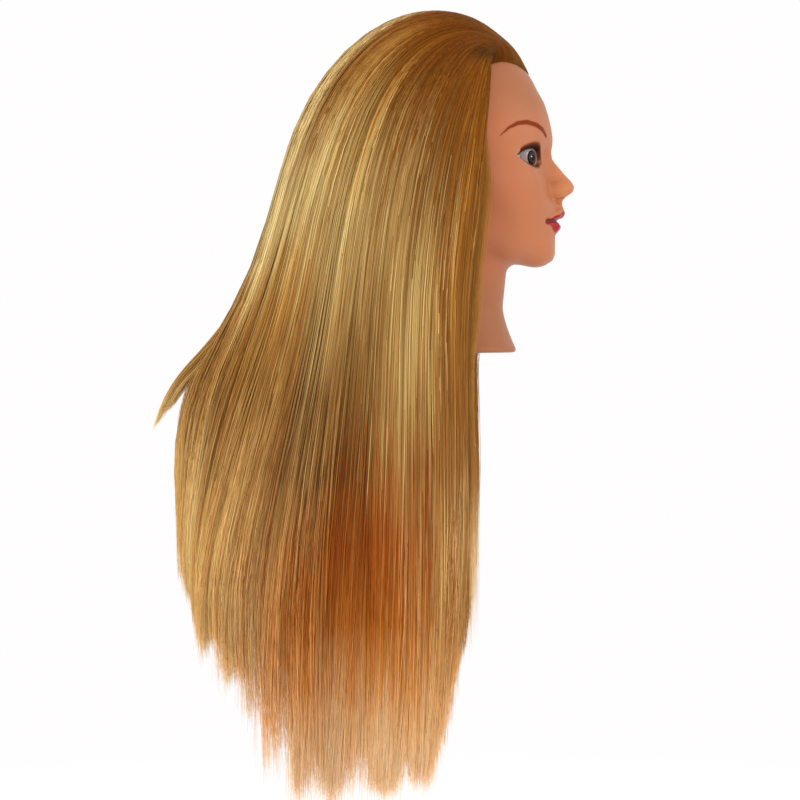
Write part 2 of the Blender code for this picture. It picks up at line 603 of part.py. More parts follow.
# -------------------------------------------------------------- hair solids
def net_hair(name, test, xs, ys, zs, colour, tris):
    def fn(x, y, z):
        d = np.maximum(hair_d(x, y, z) , open_face(x, y, z))
        d = np.maximum(d, 2.6 - head_d(x, -y, z))
        return np.maximum(d, test(x, y, z))
    V, F = skin(fn, xs, ys, zs)
    V, F = biggest(V, F)
    return make(name, V, F, colour, 0.5, tris=tris)


def build_fixed_hair():
    cut = -12.0
    for side, tag in ((-1, "right"), (1, "left")):
        x0, x1 = (-97.2, 1) if side < 0 else (-1, 97.2)
        half = lambda x, y, z: np.maximum(0.7 - side * x, PART_Z - z)
        net_hair("hair_front_" + tag, lambda x, y, z: np.maximum(half(x, y, z), y + 0.7 - cut),
                 span(x0, x1, 3.0), span(-92.2, -8, 3.0), span(105.3, 304, 3.2), (0.42, 0.25, 0.07), 1000)
        net_hair("hair_crown_" + tag, lambda x, y, z: np.maximum(half(x, y, z), cut + 0.7 - y),
                 span(x0, x1, 3.4), span(-16.2, 166, 3.8), span(105.3, 304, 3.8), (0.52, 0.33, 0.11), 1400)


def build_side(side, tag):
    xh, zh = SIDE_HINGE
    levels = [108.6, 85, 55, 25, -5, -40, -80, -120, -160, -200, -240, -280, -315, -345, -370, -391]
    outer, inner = [], []
    for z in levels:
        front = float(table(HAIR_EDGE, z))
        y1 = min(SIDE_Y1, float(table(HAIR_BACK, z)) - 30.0)
        rows_o, rows_i = [], []
        for k in range(9):
            t = k / 8
            y = front + (y1 - front) * t
            x = float(hair_x(np.array(y), np.array(float(z))))
            th = HAIR_T * (1.0 if z > -250 else 1.0 - 0.35 * (-250 - z) / 136.0)
            if k == 0:
                x, th = x - 5.0, th - 9.0
            zo = z
            if z == levels[0]:
                zo = z - max(0.0, x - xh) * math.tan(math.radians(SWING + 2))
            rows_o.append((side * x, y, zo))
            rows_i.append((side * (x - th), y, z))
        outer.append(rows_o)
        inner.append(rows_i)
    V, F = slab(outer, inner)
    make("hair_side_" + tag, V, F, (0.50, 0.30, 0.09), 0.5)


def ring_pts(z, w, back, n, y_start):
    """Points round the back of the hair from the right to the left."""
    e = 2 / 2.3
    t0 = math.asin(min(0.999, max(0.0, (y_start - 60.0) / (back - 60.0))) ** (1 / e))
    pts = []
    for k in range(n):
        t = t0 + (math.pi - 2 * t0) * k / (n - 1)
        c, s = math.cos(t), math.sin(t)
        pts.append((-math.copysign(abs(c) ** e, c) * w, 60.0 + (back - 60.0) * s ** e, z))
    pts[0] = (pts[0][0], y_start, z)
    pts[-1] = (pts[-1][0], y_start, z)
    return pts


def build_back():
    yh, zh = BACK_HINGE
    start = SIDE_Y1 + 1.2
    n = 21
    levels = [108.6, 85, 55, 25, -5, -40, -80, -120, -160, -200, -240, -275, -305, -335, -362, -384]
    outer, inner = [], []
    for z in levels:
        w, back = float(table(HAIR_WIDE, z)), float(table(HAIR_BACK, z))
        deep = float(np.interp(z, (-384, -300, -120, -40, 110), (24, 50, 82, 76, 44)))
        ys = min(start, back - 28.0)
        o = ring_pts(z, w, back, n, ys)
        i = ring_pts(z, w - HAIR_T, max(back - deep, ys + 6.0), n, ys)
        if z == levels[0]:
            o = [(x, y, z - max(0.0, y - yh) * math.tan(math.radians(SWING + 2))) for x, y, z in o]
        outer.append(o)
        inner.append(i)
    V, F = slab(outer, inner)
    make("hair_back", V, F, (0.46, 0.27, 0.08), 0.5)

    # the layer from the nape, which hangs inside the back section
    outer, inner = [], []
    for z in [109.6, 80, 40, 0, -50, -110, -170, -230, -280, -320]:
        a = float(np.interp(z, (-320, -100, 60, 110), (84, 78, 64, 62)))
        b = float(np.interp(z, (-320, -120, 0, 110), (104, 130, 112, 92)))
        w = float(np.interp(z, (-320, 0, 110), (44, 50, 52)))
        o, i = [], []
        for k in range(9):
            t = -1 + k / 4
            bow = math.sqrt(max(0.0, 1 - (t * 0.86) ** 2))
            o.append((-t * w, a + 10 + (b - a - 10) * (0.25 + 0.75 * bow), z))
            i.append((-t * w * 0.94, a, z))
        outer.append(o)
        inner.append(i)
    V, F = slab(outer, inner)
    make("hair_nape", V, F, (0.40, 0.23, 0.06), 0.55)

    # a lock whose tip stands out at the back
    prof = [((216.0, 4.0), (203.0, 24.0)), ((227.5, -16.0), (221.0, -8.0)), ((236.5, -32.0), (230.0, -26.0)),
            ((246.0, -47.0), (236.0, -46.0)), ((252.0, -60.0), (240.5, -60.0)), ((254.0, -68.0), (246.0, -68.0))]
    wide = [3.0, 9.0, 13.0, 13.0, 9.0, 4.0]
    outer, inner = [], []
    for (po, pi), w in zip(prof, wide):
        pi = (max(pi[0], float(table(HAIR_BACK, pi[1])) + 1.6), pi[1])
        po = (max(po[0], pi[0] + 2.5), po[1])
        outer.append([(w * (k / 2 - 1), po[0] - 1.5 * abs(k / 2 - 1), po[1]) for k in range(5)])
        inner.append([(w * (k / 2 - 1), pi[0], pi[1]) for k in range(5)])
    V, F = slab(outer, inner)
    make("hair_flick", V, F, (0.56, 0.38, 0.14), 0.5)


build_shell()
build_core()
build_scalp()
build_socket()
build_eyes()
build_fixed_hair()
build_side(-1, "right")
build_side(1, "left")
build_back()
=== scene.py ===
"""Looks of the mannequin training head.  Millimetres in the tables."""
import bpy
import math
import numpy as np
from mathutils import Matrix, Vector


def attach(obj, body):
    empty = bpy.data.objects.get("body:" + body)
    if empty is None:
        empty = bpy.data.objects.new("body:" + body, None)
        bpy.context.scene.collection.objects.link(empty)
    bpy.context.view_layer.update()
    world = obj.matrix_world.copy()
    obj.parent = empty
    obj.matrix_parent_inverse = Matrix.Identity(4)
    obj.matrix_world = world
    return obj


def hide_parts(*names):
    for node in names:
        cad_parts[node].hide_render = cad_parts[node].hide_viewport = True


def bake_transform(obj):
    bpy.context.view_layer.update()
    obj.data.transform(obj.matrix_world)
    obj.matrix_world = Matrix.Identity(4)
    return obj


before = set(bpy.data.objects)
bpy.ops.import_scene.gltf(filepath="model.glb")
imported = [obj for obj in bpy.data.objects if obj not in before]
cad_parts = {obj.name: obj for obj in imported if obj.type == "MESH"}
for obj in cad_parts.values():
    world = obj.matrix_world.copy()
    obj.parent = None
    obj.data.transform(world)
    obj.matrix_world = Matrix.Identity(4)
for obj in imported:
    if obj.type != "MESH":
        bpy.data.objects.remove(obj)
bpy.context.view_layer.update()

NECK_OPEN_R = 46.4
IRIS_A = 0.345

# ---------------------------------------------------------------- head form
# All lengths in this block are millimetres. x is sideways, f is forward of
# the neck axis (f = -y), z is up from the base of the neck.
def _smin(a, b, k):
    h = np.maximum(k - np.abs(a - b), 0.0) / k
    return np.minimum(a, b) - h * h * k * 0.25

def _smax(a, b, k):
    return -_smin(-a, -b, k)

def _ell(x, f, z, c, r):
    u, v, w = (x - c[0]) / r[0], (f - c[1]) / r[1], (z - c[2]) / r[2]
    k0 = np.sqrt(u * u + v * v + w * w) + 1e-9
    k1 = np.sqrt((u / r[0]) ** 2 + (v / r[1]) ** 2 + (w / r[2]) ** 2) + 1e-9
    return k0 * (k0 - 1.0) / k1

def _cone(x, f, z, a, b, ra, rb):
    dx, df, dz = b[0] - a[0], b[1] - a[1], b[2] - a[2]
    ll = dx * dx + df * df + dz * dz
    t = np.clip(((x - a[0]) * dx + (f - a[1]) * df + (z - a[2]) * dz) / ll, 0, 1)
    return np.sqrt((x - a[0] - t * dx) ** 2 + (f - a[1] - t * df) ** 2
                   + (z - a[2] - t * dz) ** 2) - (ra + (rb - ra) * t)

EYE_C = (24.4, 63.0, 168.0)      # centre of the eye's dome
EYE_R = 18.5
EYE_TURN = np.radians(32.0)      # the opening faces this far outwards
GAZE_TURN = np.radians(36.0)     # and so does the iris

def _eye_angles(x, f, z):
    """Direction from the eye's centre: u across (outwards positive), v up."""
    X, F, Z = x - EYE_C[0], f - EYE_C[1], z - EYE_C[2]
    s, c = np.sin(EYE_TURN), np.cos(EYE_TURN)
    fwd, out = X * s + F * c, X * c - F * s
    return np.arctan2(out, fwd), np.arctan2(Z, np.hypot(fwd, out)), fwd

def _lid_gap(x, f, z):
    """Positive outside the almond opening of the lids, in mm along the dome."""
    u, v, fwd = _eye_angles(x, f, z)
    t = np.clip((u + 0.92) / 1.88, 0.0, 1.0)      # 0 inner corner, 1 outer
    arch = np.sin(np.pi * t ** 0.88) ** 0.70
    tilt = -0.135 + 0.19 * t
    up = tilt + 0.50 * arch
    lo = tilt - 0.29 * np.sin(np.pi * t ** 1.05) ** 0.85
    g = np.maximum(v - up, lo - v)
    g = np.maximum(g, np.maximum(-0.92 - u, u - 0.96) * 0.7)
    return np.where(fwd > 2.0, g * EYE_R, 20.0)

def _neck(x, f, z):
    flare = np.clip((40.0 - z) / 40.0, 0, 1.3) ** 1.5
    rf = 50.0 + np.clip(z - 40, 0, 60) * 0.10 + 13.2 * flare
    rx = 47.0 + np.clip(z - 40, 0, 60) * 0.10 + 15.0 * flare
    q = np.sqrt((x / rx) ** 2 + ((f - 1.5) / rf) ** 2) + 1e-9
    return (q - 1.0) * np.minimum(rx, rf) * 0.97

def _raw_d(x, f, z, ears=True, eyes=True):
    d = _ell(x, f, z, (0, -2, 196), (75, 86, 89))                 # cranium
    d = _smin(d, _ell(x, f, z, (0, 8, 180), (64, 87, 83)), 15)    # forehead
    d = _smin(d, _ell(x, f, z, (0, 22, 142), (58, 69, 62)), 18)   # mid face
    d = _smin(d, _ell(x, f, z, (36, 52, 147), (22, 26, 20)), 18)  # cheekbones
    d = _smin(d, _ell(x, f, z, (22, 64, 122), (25, 25, 27)), 16)  # cheeks
    jaw = _cone(x, f, z, (11, 80, 92), (37, 24, 106), 14.0, 15)
    jaw = _smin(jaw, _cone(x, f, z, (37, 24, 106), (47, 6, 150), 15, 14), 12)
    jaw = _smin(jaw, _ell(x, f, z, (0, 46, 98), (42, 40, 22.5)), 10)
    d = _smin(d, jaw, 16)
    chin = _cone(x, f, z, (0, 85.0, 99), (0, 82.5, 91), 12.0, 14.2)
    chin = _smin(chin, _cone(x, f, z, (0, 82, 90.5), (9, 79.5, 90.5), 14, 13.2), 4)
    d = _smin(d, chin, 11)
    # muzzle under the lips and nose
    d = _smin(d, _ell(x, f, z, (0, 70, 117), (31, 28.5, 26)), 12)
    d = _smin(d, _cone(x, f, z, (0, 98.6, 135), (0, 99.0, 125.5), 3.8, 4.4), 9)
    # eye sockets and the brow above them
    d = _smax(d, -_ell(x, f, z, (28, 98.0, 166), (20, 12.5, 12.0)), 15)
    d = _smin(d, _cone(x, f, z, (0, 86.0, 189), (26, 76.0, 193), 5.0, 4.0), 16)
    # nose
    nose = _cone(x, f, z, (0, 88.6, 174), (0, 96.6, 158), 4.6, 4.8)
    nose = _smin(nose, _cone(x, f, z, (0, 96.6, 158), (0, 105.4, 144.8), 4.8, 8.0), 3)
    d = _smin(d, nose, 10)
    d = _smin(d, _ell(x, f, z, (0, 104.6, 143.8), (8.4, 9.2, 8.2)), 5)
    d = _smin(d, _ell(x, f, z, (9.0, 98.4, 141.0), (5.6, 8.4, 6.0)), 5)
    d = _smax(d, -_ell(x, f, z, (5.2, 101.8, 133.6), (2.5, 4.6, 4.0)), 2.2)
    # philtrum
    d = _smax(d, -_cone(x, f, z, (0, 107.4, 131), (0, 108.2, 125.5), 3.0, 3.4), 3)
    # lips
    up = _cone(x, f, z, (3.4, 100.6, 120.4), (11, 97.6, 119.4), 4.6, 4.0)
    up = _smin(up, _cone(x, f, z, (11, 97.6, 119.4), (22.0, 88.6, 115.0), 4.0, 1.2), 3)
    lo = _cone(x, f, z, (0, 97.4, 109.8), (8, 96.4, 110.2), 5.4, 5.0)
    lo = _smin(lo, _cone(x, f, z, (8, 96.4, 110.2), (21.0, 88.4, 113.6), 5.0, 1.2), 3)
    d = _smin(d, up, 3.0)
    d = _smin(d, lo, 3.0)
    d = _smax(d, -_cone(x, f, z, (0, 103.4, 115.0), (12, 100.0, 115.6), 1.7, 1.4), 2.0)
    d = _smax(d, -_cone(x, f, z, (12, 100.0, 115.6), (24.0, 90.5, 114.2), 1.4, 0.8), 2.0)
    # corner of the mouth
    d = _smax(d, -_ell(x, f, z, (25.0, 92.0, 113.8), (3.4, 3.0, 2.8)), 4)
    # lids over the eye's dome, then the opening between them
    if eyes:
        r = np.sqrt((x - EYE_C[0]) ** 2 + (f - EYE_C[1]) ** 2 + (z - EYE_C[2]) ** 2)
        near = np.where(f > EYE_C[1] - 8, r - (EYE_R + 1.7), 30.0)
        d = _smin(d, near, 6)
        gap = _lid_gap(x, f, z)
        d = _smax(d, -np.maximum(gap, EYE_R - 7.0 - r), 1.1)
    # neck
    d = _smin(d, np.maximum(_neck(x, f, z), z - 150), 7)
    if ears:
        # ear: a tilted dish with a rolled rim, standing off the side of the head
        X, F, Z = x - 71.0, f + 6.0, z - 156.0
        ca, sa = np.cos(np.radians(10)), np.sin(np.radians(10))
        F, Z = F * ca - Z * sa, F * sa + Z * ca
        cb, sb = np.cos(np.radians(20)), np.sin(np.radians(20))
        X, F = X * cb + F * sb, -X * sb + F * cb
        q = np.sqrt((F / (16.5 - 3.0 * (Z < 0) * np.clip(-Z / 30, 0, 1))) ** 2 + (Z / 30.0) ** 2)
        dish = np.maximum(np.abs(X - 1.0) - 2.6, (q - 0.92) * 15)
        rim = np.sqrt(((q - 0.86) * 16) ** 2 + (X - 3.4) ** 2) - 2.9
        ear = _smin(dish, rim, 2.5)
        anti = np.sqrt(((q - 0.5) * 15) ** 2 + (X - 3.2) ** 2) - 1.9
        ear = _smin(ear, np.where(F < 3, anti, 9.0), 2.5)
        ear = _smin(ear, _ell(X, F, Z, (2.2, 10.5, -3), (3.4, 3.6, 4.8)), 2.5)
        ear = _smin(ear, _ell(X, F, Z, (1.8, 1.5, -25), (3.2, 7.5, 7.5)), 3)
        ear = _smax(ear, -_ell(X, F, Z, (6.0, 1.5, -5), (4.0, 6.0, 8.5)), 2)
        ear = np.maximum(ear, -(x - 58))
        d = _smin(d, ear, 4)
    return d

# How far forward the middle of the face comes, at each height.
PROFILE = [(240, 75.0), (229, 81.4), (218, 87.6), (207, 91.2), (197, 93.6), (188, 95.0),
           (182, 94.9), (175, 93.7), (169, 94.6), (165.4, 97.2), (160.2, 101.6),
           (154.9, 106.0), (150, 110.8), (147.3, 112.7), (144.3, 114.0), (140.6, 113.0),
           (138.4, 110.4), (135.5, 106.0), (132.5, 103.7), (128.5, 103.5), (125, 104.9),
           (121.6, 105.1), (119.4, 104.0), (117.4, 101.6), (114.8, 98.2), (112.6, 100.8),
           (110.2, 102.5), (107.6, 101.8), (105.2, 99.5), (102.2, 97.4), (95, 97.2),
           (86, 97.2), (81, 95.4), (78.6, 92.5), (76.8, 87.5)]

def _shift_table():
    zs = np.arange(77.0, 241.0, 0.5)
    lo, hi = np.full_like(zs, 70.0), np.full_like(zs, 125.0)
    for _ in range(30):
        mid = (lo + hi) / 2
        inside = _raw_d(np.zeros_like(zs), mid, zs, False, False) < 0
        lo, hi = np.where(inside, mid, lo), np.where(inside, hi, mid)
    t = np.array(PROFILE[::-1], float)
    want = np.interp(zs, t[:, 0], t[:, 1])
    k = np.array([1, 2, 3, 2, 1.0]); k /= k.sum()
    want = np.convolve(np.pad(want, 2, "edge"), k, "valid")
    s = np.clip(want - (lo + hi) / 2, -5, 5)
    s *= np.clip((zs - 77) / 3.0, 0, 1) * np.clip((241 - zs) / 12.0, 0, 1)
    return zs, s

def head_d(x, f, z, ears=True, eyes=True):
    """Signed distance, about, to the outside of the head and neck."""
    x = np.abs(x)
    s = np.interp(z, SHIFT[0], SHIFT[1], 0.0, 0.0)
    wide = np.interp(z, (77, 95, 104, 125, 134, 150, 168, 186, 215), (22, 24, 20, 18, 12, 11, 13, 34, 50))
    g = f - s * np.exp(-(x / wide) ** 2) * np.clip((f - 60.0) / 15.0, 0, 1)
    d = _raw_d(x, g, z, ears, eyes)
    return _smax(d, -z, 5.0)      # flat base with a rounded foot

SHIFT = _shift_table()

def surface_nets(fn, xs, ys, zs, chunk=1500000):
    """Mesh of fn(x, y, z) = 0 on the grid of those coordinates (inside is negative)."""
    nx, ny, nz = len(xs), len(ys), len(zs)
    X, Y, Z = np.meshgrid(xs, ys, zs, indexing="ij")
    D = np.empty(X.size, np.float32)
    fx, fy, fz = X.ravel(), Y.ravel(), Z.ravel()
    for i in range(0, X.size, chunk):
        D[i:i + chunk] = fn(fx[i:i + chunk], fy[i:i + chunk], fz[i:i + chunk])
    D = D.reshape(nx, ny, nz)
    return nets_of(D, xs, ys, zs)

def nets_of(D, xs, ys, zs):
    nx, ny, nz = D.shape
    ins = D < 0
    corners = [(0,0,0),(1,0,0),(0,1,0),(1,1,0),(0,0,1),(1,0,1),(0,1,1),(1,1,1)]
    cnt = np.zeros((nx-1, ny-1, nz-1), np.int8)
    for c in corners:
        cnt += ins[c[0]:nx-1+c[0], c[1]:ny-1+c[1], c[2]:nz-1+c[2]]
    act = (cnt > 0) & (cnt < 8)
    ci, cj, ck = np.nonzero(act)
    idx = -np.ones(act.shape, np.int64)
    idx[ci, cj, ck] = np.arange(len(ci))
    acc = np.zeros((len(ci), 3)); n = np.zeros(len(ci))
    edges = [(0,1),(0,2),(0,4),(1,3),(1,5),(2,3),(2,6),(3,7),(4,5),(4,6),(5,7),(6,7)]
    for a, b in edges:
        ca, cb = corners[a], corners[b]
        da = D[ci+ca[0], cj+ca[1], ck+ca[2]].astype(float)
        db = D[ci+cb[0], cj+cb[1], ck+cb[2]].astype(float)
        m = (da < 0) != (db < 0)
        t = np.where(m, da / np.where(m, da - db, 1), 0)
        pa = np.stack([xs[ci+ca[0]], ys[cj+ca[1]], zs[ck+ca[2]]], 1)
        pb = np.stack([xs[ci+cb[0]], ys[cj+cb[1]], zs[ck+cb[2]]], 1)
        acc += np.where(m[:, None], pa + (pb - pa) * t[:, None], 0)
        n += m
    V = acc / n[:, None]
    F = []
    # faces across each grid edge that changes sign
    for ax in range(3):
        sl0 = [slice(1, nx-1), slice(1, ny-1), slice(1, nz-1)]
        sl0[ax] = slice(0, D.shape[ax]-1)
        a = ins[tuple(sl0)]
        sl1 = list(sl0); sl1[ax] = slice(1, D.shape[ax])
        b = ins[tuple(sl1)]
        for flip, m in ((False, a & ~b), (True, ~a & b)):
            p = np.stack(np.nonzero(m), 1)
            off = np.ones(3, int); off[ax] = 0
            p = p + off
            u, v = [(1, 2), (2, 0), (0, 1)][ax]
            q = []
            for du, dv in ((0, 0), (-1, 0), (-1, -1), (0, -1)):
                r = p.copy(); r[:, u] += du; r[:, v] += dv
                q.append(idx[r[:, 0], r[:, 1], r[:, 2]])
            q = np.stack(q, 1)
            F.append(q[:, ::-1] if flip else q)
    return V, np.concatenate(F)
# ------------------------------------------------------------ shared helpers
RNG = np.random.default_rng(7)


def table1(t, z):
    a = np.array(sorted(t), float)
    return np.interp(z, a[:, 0], a[:, 1])


def smooth01(x):
    x = np.clip(x, 0, 1)
    return x * x * (3 - 2 * x)


def mesh_from(name, V, F, smooth=True):
    """V in millimetres, (x, y, z); F triangles or quads of one size."""
    V = np.ascontiguousarray(V, np.float32) / 1000.0
    F = np.ascontiguousarray(F, np.int32)
    me = bpy.data.meshes.new(name)
    me.vertices.add(len(V))
    me.vertices.foreach_set("co", V.ravel())
    k = F.shape[1]
    me.loops.add(F.size)
    me.loops.foreach_set("vertex_index", F.ravel())
    me.polygons.add(len(F))
    me.polygons.foreach_set("loop_start", np.arange(0, F.size, k, dtype=np.int32))
    me.polygons.foreach_set("loop_total", np.full(len(F), k, np.int32))
    me.update(calc_edges=True)
    me.validate()
    if smooth:
        me.shade_smooth()
    return me


def put(name, me, mat):
    me.materials.clear()
    me.materials.append(mat)
    ob = bpy.data.objects.new(name, me)
    bpy.context.scene.collection.objects.link(ob)
    return ob


def attr(me, name, values, kind="FLOAT"):
    a = me.attributes.new(name, kind, "POINT")
    key = {"FLOAT": "value", "FLOAT_VECTOR": "vector", "FLOAT_COLOR": "color"}[kind]
    a.data.foreach_set(key, np.ascontiguousarray(values, np.float32).ravel())


def lin(r, g, b):
    f = lambda c: c / 12.92 if c <= 0.04045 else ((c + 0.055) / 1.055) ** 2.4
    return tuple(f(c / 255.0) for c in (r, g, b))


class Nodes:
    """A material's node tree, built by short calls."""

    def __init__(self, name, **bsdf):
        self.mat = bpy.data.materials.new(name)
        self.mat.use_nodes = True
        self.t = self.mat.node_tree
        self.b = self.t.nodes["Principled BSDF"]
        for k, v in bsdf.items():
            self.b.inputs[k.replace("_", " ")].default_value = v

    def add(self, kind, **props):
        n = self.t.nodes.new(kind)
        for k, v in props.items():
            setattr(n, k, v)
        return n

    def link(self, a, b):
        self.t.links.new(a, b)

    def val(self, name):
        n = self.add("ShaderNodeAttribute", attribute_name=name)
        return n.outputs["Fac"]

    def colour(self, name):
        return self.add("ShaderNodeAttribute", attribute_name=name).outputs["Color"]

    def vec(self, name):
        return self.add("ShaderNodeAttribute", attribute_name=name).outputs["Vector"]

    def math(self, op, a, b=None, c=None):
        n = self.add("ShaderNodeMath", operation=op)
        for i, v in enumerate((a, b, c)):
            if v is None:
                continue
            if isinstance(v, (int, float)):
                n.inputs[i].default_value = v
            else:
                self.link(v, n.inputs[i])
        return n.outputs[0]

    def step(self, v, lo, hi, a=0.0, b=1.0):
        n = self.add("ShaderNodeMapRange", interpolation_type="SMOOTHSTEP")
        self.link(v, n.inputs["Value"])
        for k, x in (("From Min", lo), ("From Max", hi), ("To Min", a), ("To Max", b)):
            n.inputs[k].default_value = x
        return n.outputs["Result"]

    def mix(self, fac, a, b):
        n = self.add("ShaderNodeMix", data_type="RGBA")
        for s, v in (("Factor", fac), ("A", a), ("B", b)):
            sock = [i for i in n.inputs if i.name == s and (s == "Factor" and i.type == "VALUE" or s != "Factor" and i.type == "RGBA")][0]
            if isinstance(v, (int, float)):
                sock.default_value = v
            elif isinstance(v, tuple):
                sock.default_value = (*v[:3], 1.0)
            else:
                self.link(v, sock)
        return [o for o in n.outputs if o.type == "RGBA"][0]

    def noise(self, vec, scale, detail=2.0, rough=0.5):
        n = self.add("ShaderNodeTexNoise")
        n.inputs["Scale"].default_value = scale
        n.inputs["Detail"].default_value = detail
        n.inputs["Roughness"].default_value = rough
        if vec is not None:
            self.link(vec, n.inputs["Vector"])
        return n.outputs["Fac"]

    def bump(self, height, strength, distance):
        n = self.add("ShaderNodeBump")
        n.inputs["Strength"].default_value = strength
        n.inputs["Distance"].default_value = distance
        self.link(height, n.inputs["Height"])
        self.link(n.outputs["Normal"], self.b.inputs["Normal"])


# ------------------------------------------------------------ the vinyl head
LIP_UP = [(0, 121.6), (3.6, 123.2), (8, 122.8), (13, 121.0), (18, 118.4), (22, 115.8), (24.8, 114.0)]
LIP_LOW = [(0, 103.0), (6, 103.2), (12, 104.8), (17, 107.4), (21, 110.6), (24.8, 113.6)]
BROW = [(21, 187.6), (27, 192.4), (36, 196.4), (46, 198.4), (57, 197.0), (67, 192.6), (76, 185.4)]
BROW_HALF = [(21, 2.0), (27, 2.5), (45, 2.3), (60, 1.9), (70, 1.2), (76, 0.6)]


def head_piece():
    def axis(lo, hi, coarse, fine):
        out = [lo]
        while out[-1] < hi:
            s = coarse
            for a, b, st in fine:
                if a <= out[-1] < b:
                    s = st
            out.append(out[-1] + s)
        return np.array(out)
    st = 1.05
    xs = axis(-90, 90, 3.0, [(-62, 62, st)])
    xs = (xs - xs[::-1]) / 2
    ys = axis(-119, 93, 3.0, [(-125, -50, st)])
    zs = axis(-4.3, 290, 3.0, [(72, 212, st)])
    V, F = surface_nets(lambda x, y, z: head_d(x, -y, z), xs, ys, zs)
    for _ in range(3):
        x, y, z = V.T
        e = 0.2
        fn = lambda a, b, c: head_d(a, -b, c)
        d = fn(x, y, z)
        g = np.stack([fn(x + e, y, z) - fn(x - e, y, z), fn(x, y + e, z) - fn(x, y - e, z),
                      fn(x, y, z + e) - fn(x, y, z - e)], 1) / (2 * e)
        gg = np.maximum((g * g).sum(1), 0.25)
        V = V - np.clip(d / gg, -1, 1)[:, None] * g * 0.8
    # open the base for the plate
    keep = ~((np.hypot(V[:, 0], V[:, 1]) < NECK_OPEN_R) & (V[:, 2] < 1.0))
    F = F[keep[F].all(1)]
    used, inv = np.unique(F, return_inverse=True)
    V, F = V[used], inv.reshape(F.shape)
    me = mesh_from("head_skin", V, F)
    x, y, z = np.abs(V[:, 0]), V[:, 1], V[:, 2]
    f = -y
    # distances to the painted shapes, in millimetres
    lip = np.maximum(z - table1(LIP_UP, x), table1(LIP_LOW, x) - z)
    lip = np.where((f > 80) & (x < 25.9), np.maximum(lip * 0.9, x - 25.0), 9.0)
    arc = np.arctan2(x, f) * 85.0
    p = np.array(BROW, float)
    best = np.full(len(V), 50.0)
    for (a0, a1), (b0, b1) in zip(p[:-1], p[1:]):
        t = np.clip(((arc - a0) * (b0 - a0) + (z - a1) * (b1 - a1)) / ((b0 - a0) ** 2 + (b1 - a1) ** 2), 0, 1)
        sx = a0 + t * (b0 - a0)
        best = np.minimum(best, np.hypot(arc - sx, z - a1 - t * (b1 - a1)) - table1(BROW_HALF, sx))
    brow = np.where(f > 20, best, 50.0)
    r = np.sqrt((x - EYE_C[0]) ** 2 + (f - EYE_C[1]) ** 2 + (z - EYE_C[2]) ** 2)
    gap = _lid_gap(x, f, z)
    u, v, _fwd = _eye_angles(x, f, z)
    wide = 0.95 + 1.25 * smooth01((v + 0.15) / 0.35) - 0.75 * smooth01((-u - 0.30) / 0.4)
    liner = np.where((r < EYE_R + 9) & (f > 55), gap - wide, 20.0)
    nose = np.exp(-((x / 17.0) ** 2 + ((z - 146) / 20.0) ** 2)) * smooth01((f - 90) / 10.0)
    near_hair = np.exp(-np.maximum(y + 58.0, -30.0) ** 2 / 500.0) * (y < -30)
    near_hair = smooth01((y + 78.0) / 40.0)
    cheek = np.exp(-(((x - 44) / 20.0) ** 2 + ((z - 136) / 26.0) ** 2))
    attr(me, "lip", lip)
    attr(me, "brow", brow)
    attr(me, "liner", liner)
    attr(me, "nose", nose)
    attr(me, "shade", np.clip(0.72 * smooth01((z - 186) / 45.0) + smooth01((84 - z) / 40.0), 0, 1))
    # painted shade: the skin darkens towards the hair, and a little on the cheek
    attr(me, "near_hair_shade_and_cheek", np.clip(near_hair * 0.8 + 0.3 * cheek, 0, 1))
    # distance to the line between the lips, where shade is painted
    attr(me, "mouth", np.where(f > 85, np.abs(z - table1([(0, 114.9), (12, 115.4), (24, 114.2)], x)), 9.0))

    n = Nodes("vinyl", Roughness=0.46)
    n.b.inputs["Subsurface Weight"].default_value = 0.12
    n.b.inputs["Subsurface Radius"].default_value = (1.0, 0.35, 0.15)
    n.b.inputs["Subsurface Scale"].default_value = 0.004
    # painted shade towards the hair, and the cheek a little darker
    skin = n.mix(n.val("near_hair_shade_and_cheek"), lin(*SKIN), lin(*SKIN_SHADE_AND_CHEEK))
    skin = n.mix(n.math("MULTIPLY", n.val("nose"), 0.75), skin, lin(*SKIN_NOSE))
    skin = n.mix(n.val("shade"), skin, lin(*SKIN_SHADE))
    obj = n.add("ShaderNodeTexCoord").outputs["Object"]
    mottle = n.noise(obj, 45.0, 3.0, 0.6)
    skin = n.mix(n.step(mottle, 0.3, 0.8, 0.0, 0.10), skin, lin(*SKIN_DARK))
    brow_m = n.step(n.val("brow"), -0.9, 0.5, 1.0, 0.0)
    streak = n.noise(obj, 900.0, 2.0)
    brow_m = n.math("MULTIPLY", brow_m, n.step(streak, 0.2, 0.75, 0.82, 1.0))
    c = n.mix(brow_m, skin, lin(*BROW_C))
    c = n.mix(n.step(n.val("liner"), -0.9, 0.9, 0.92, 0.0), c, lin(*LINER_SOFT))
    c = n.mix(n.step(n.val("liner"), -2.2, -0.7, 0.92, 0.0), c, lin(*LINER))
    lip_m = n.step(n.val("lip"), -0.5, 0.35, 1.0, 0.0)
    # painted shade: the lips darken towards the line where they meet
    lipc = n.mix(n.step(n.val("mouth"), 0.2, 3.0, 0.85, 0.0), lin(*LIP), lin(*LIP_CREASE_SHADE))
    c = n.mix(lip_m, c, lipc)
    n.link(c, n.b.inputs["Base Color"])
    matt = n.math("MAXIMUM", brow_m, n.step(n.val("liner"), -0.9, 0.9, 1.0, 0.0))
    n.link(n.step(matt, 0.0, 1.0, 0.30, 0.03), n.b.inputs["Specular IOR Level"])
    n.link(n.step(lip_m, 0.0, 1.0, 0.46, 0.34), n.b.inputs["Roughness"])
    n.bump(n.noise(obj, 1400.0, 2.0), 0.10, 0.0004)
    ob = put("head_skin", me, n.mat)
    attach(ob, "head")
    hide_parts("head_shell")


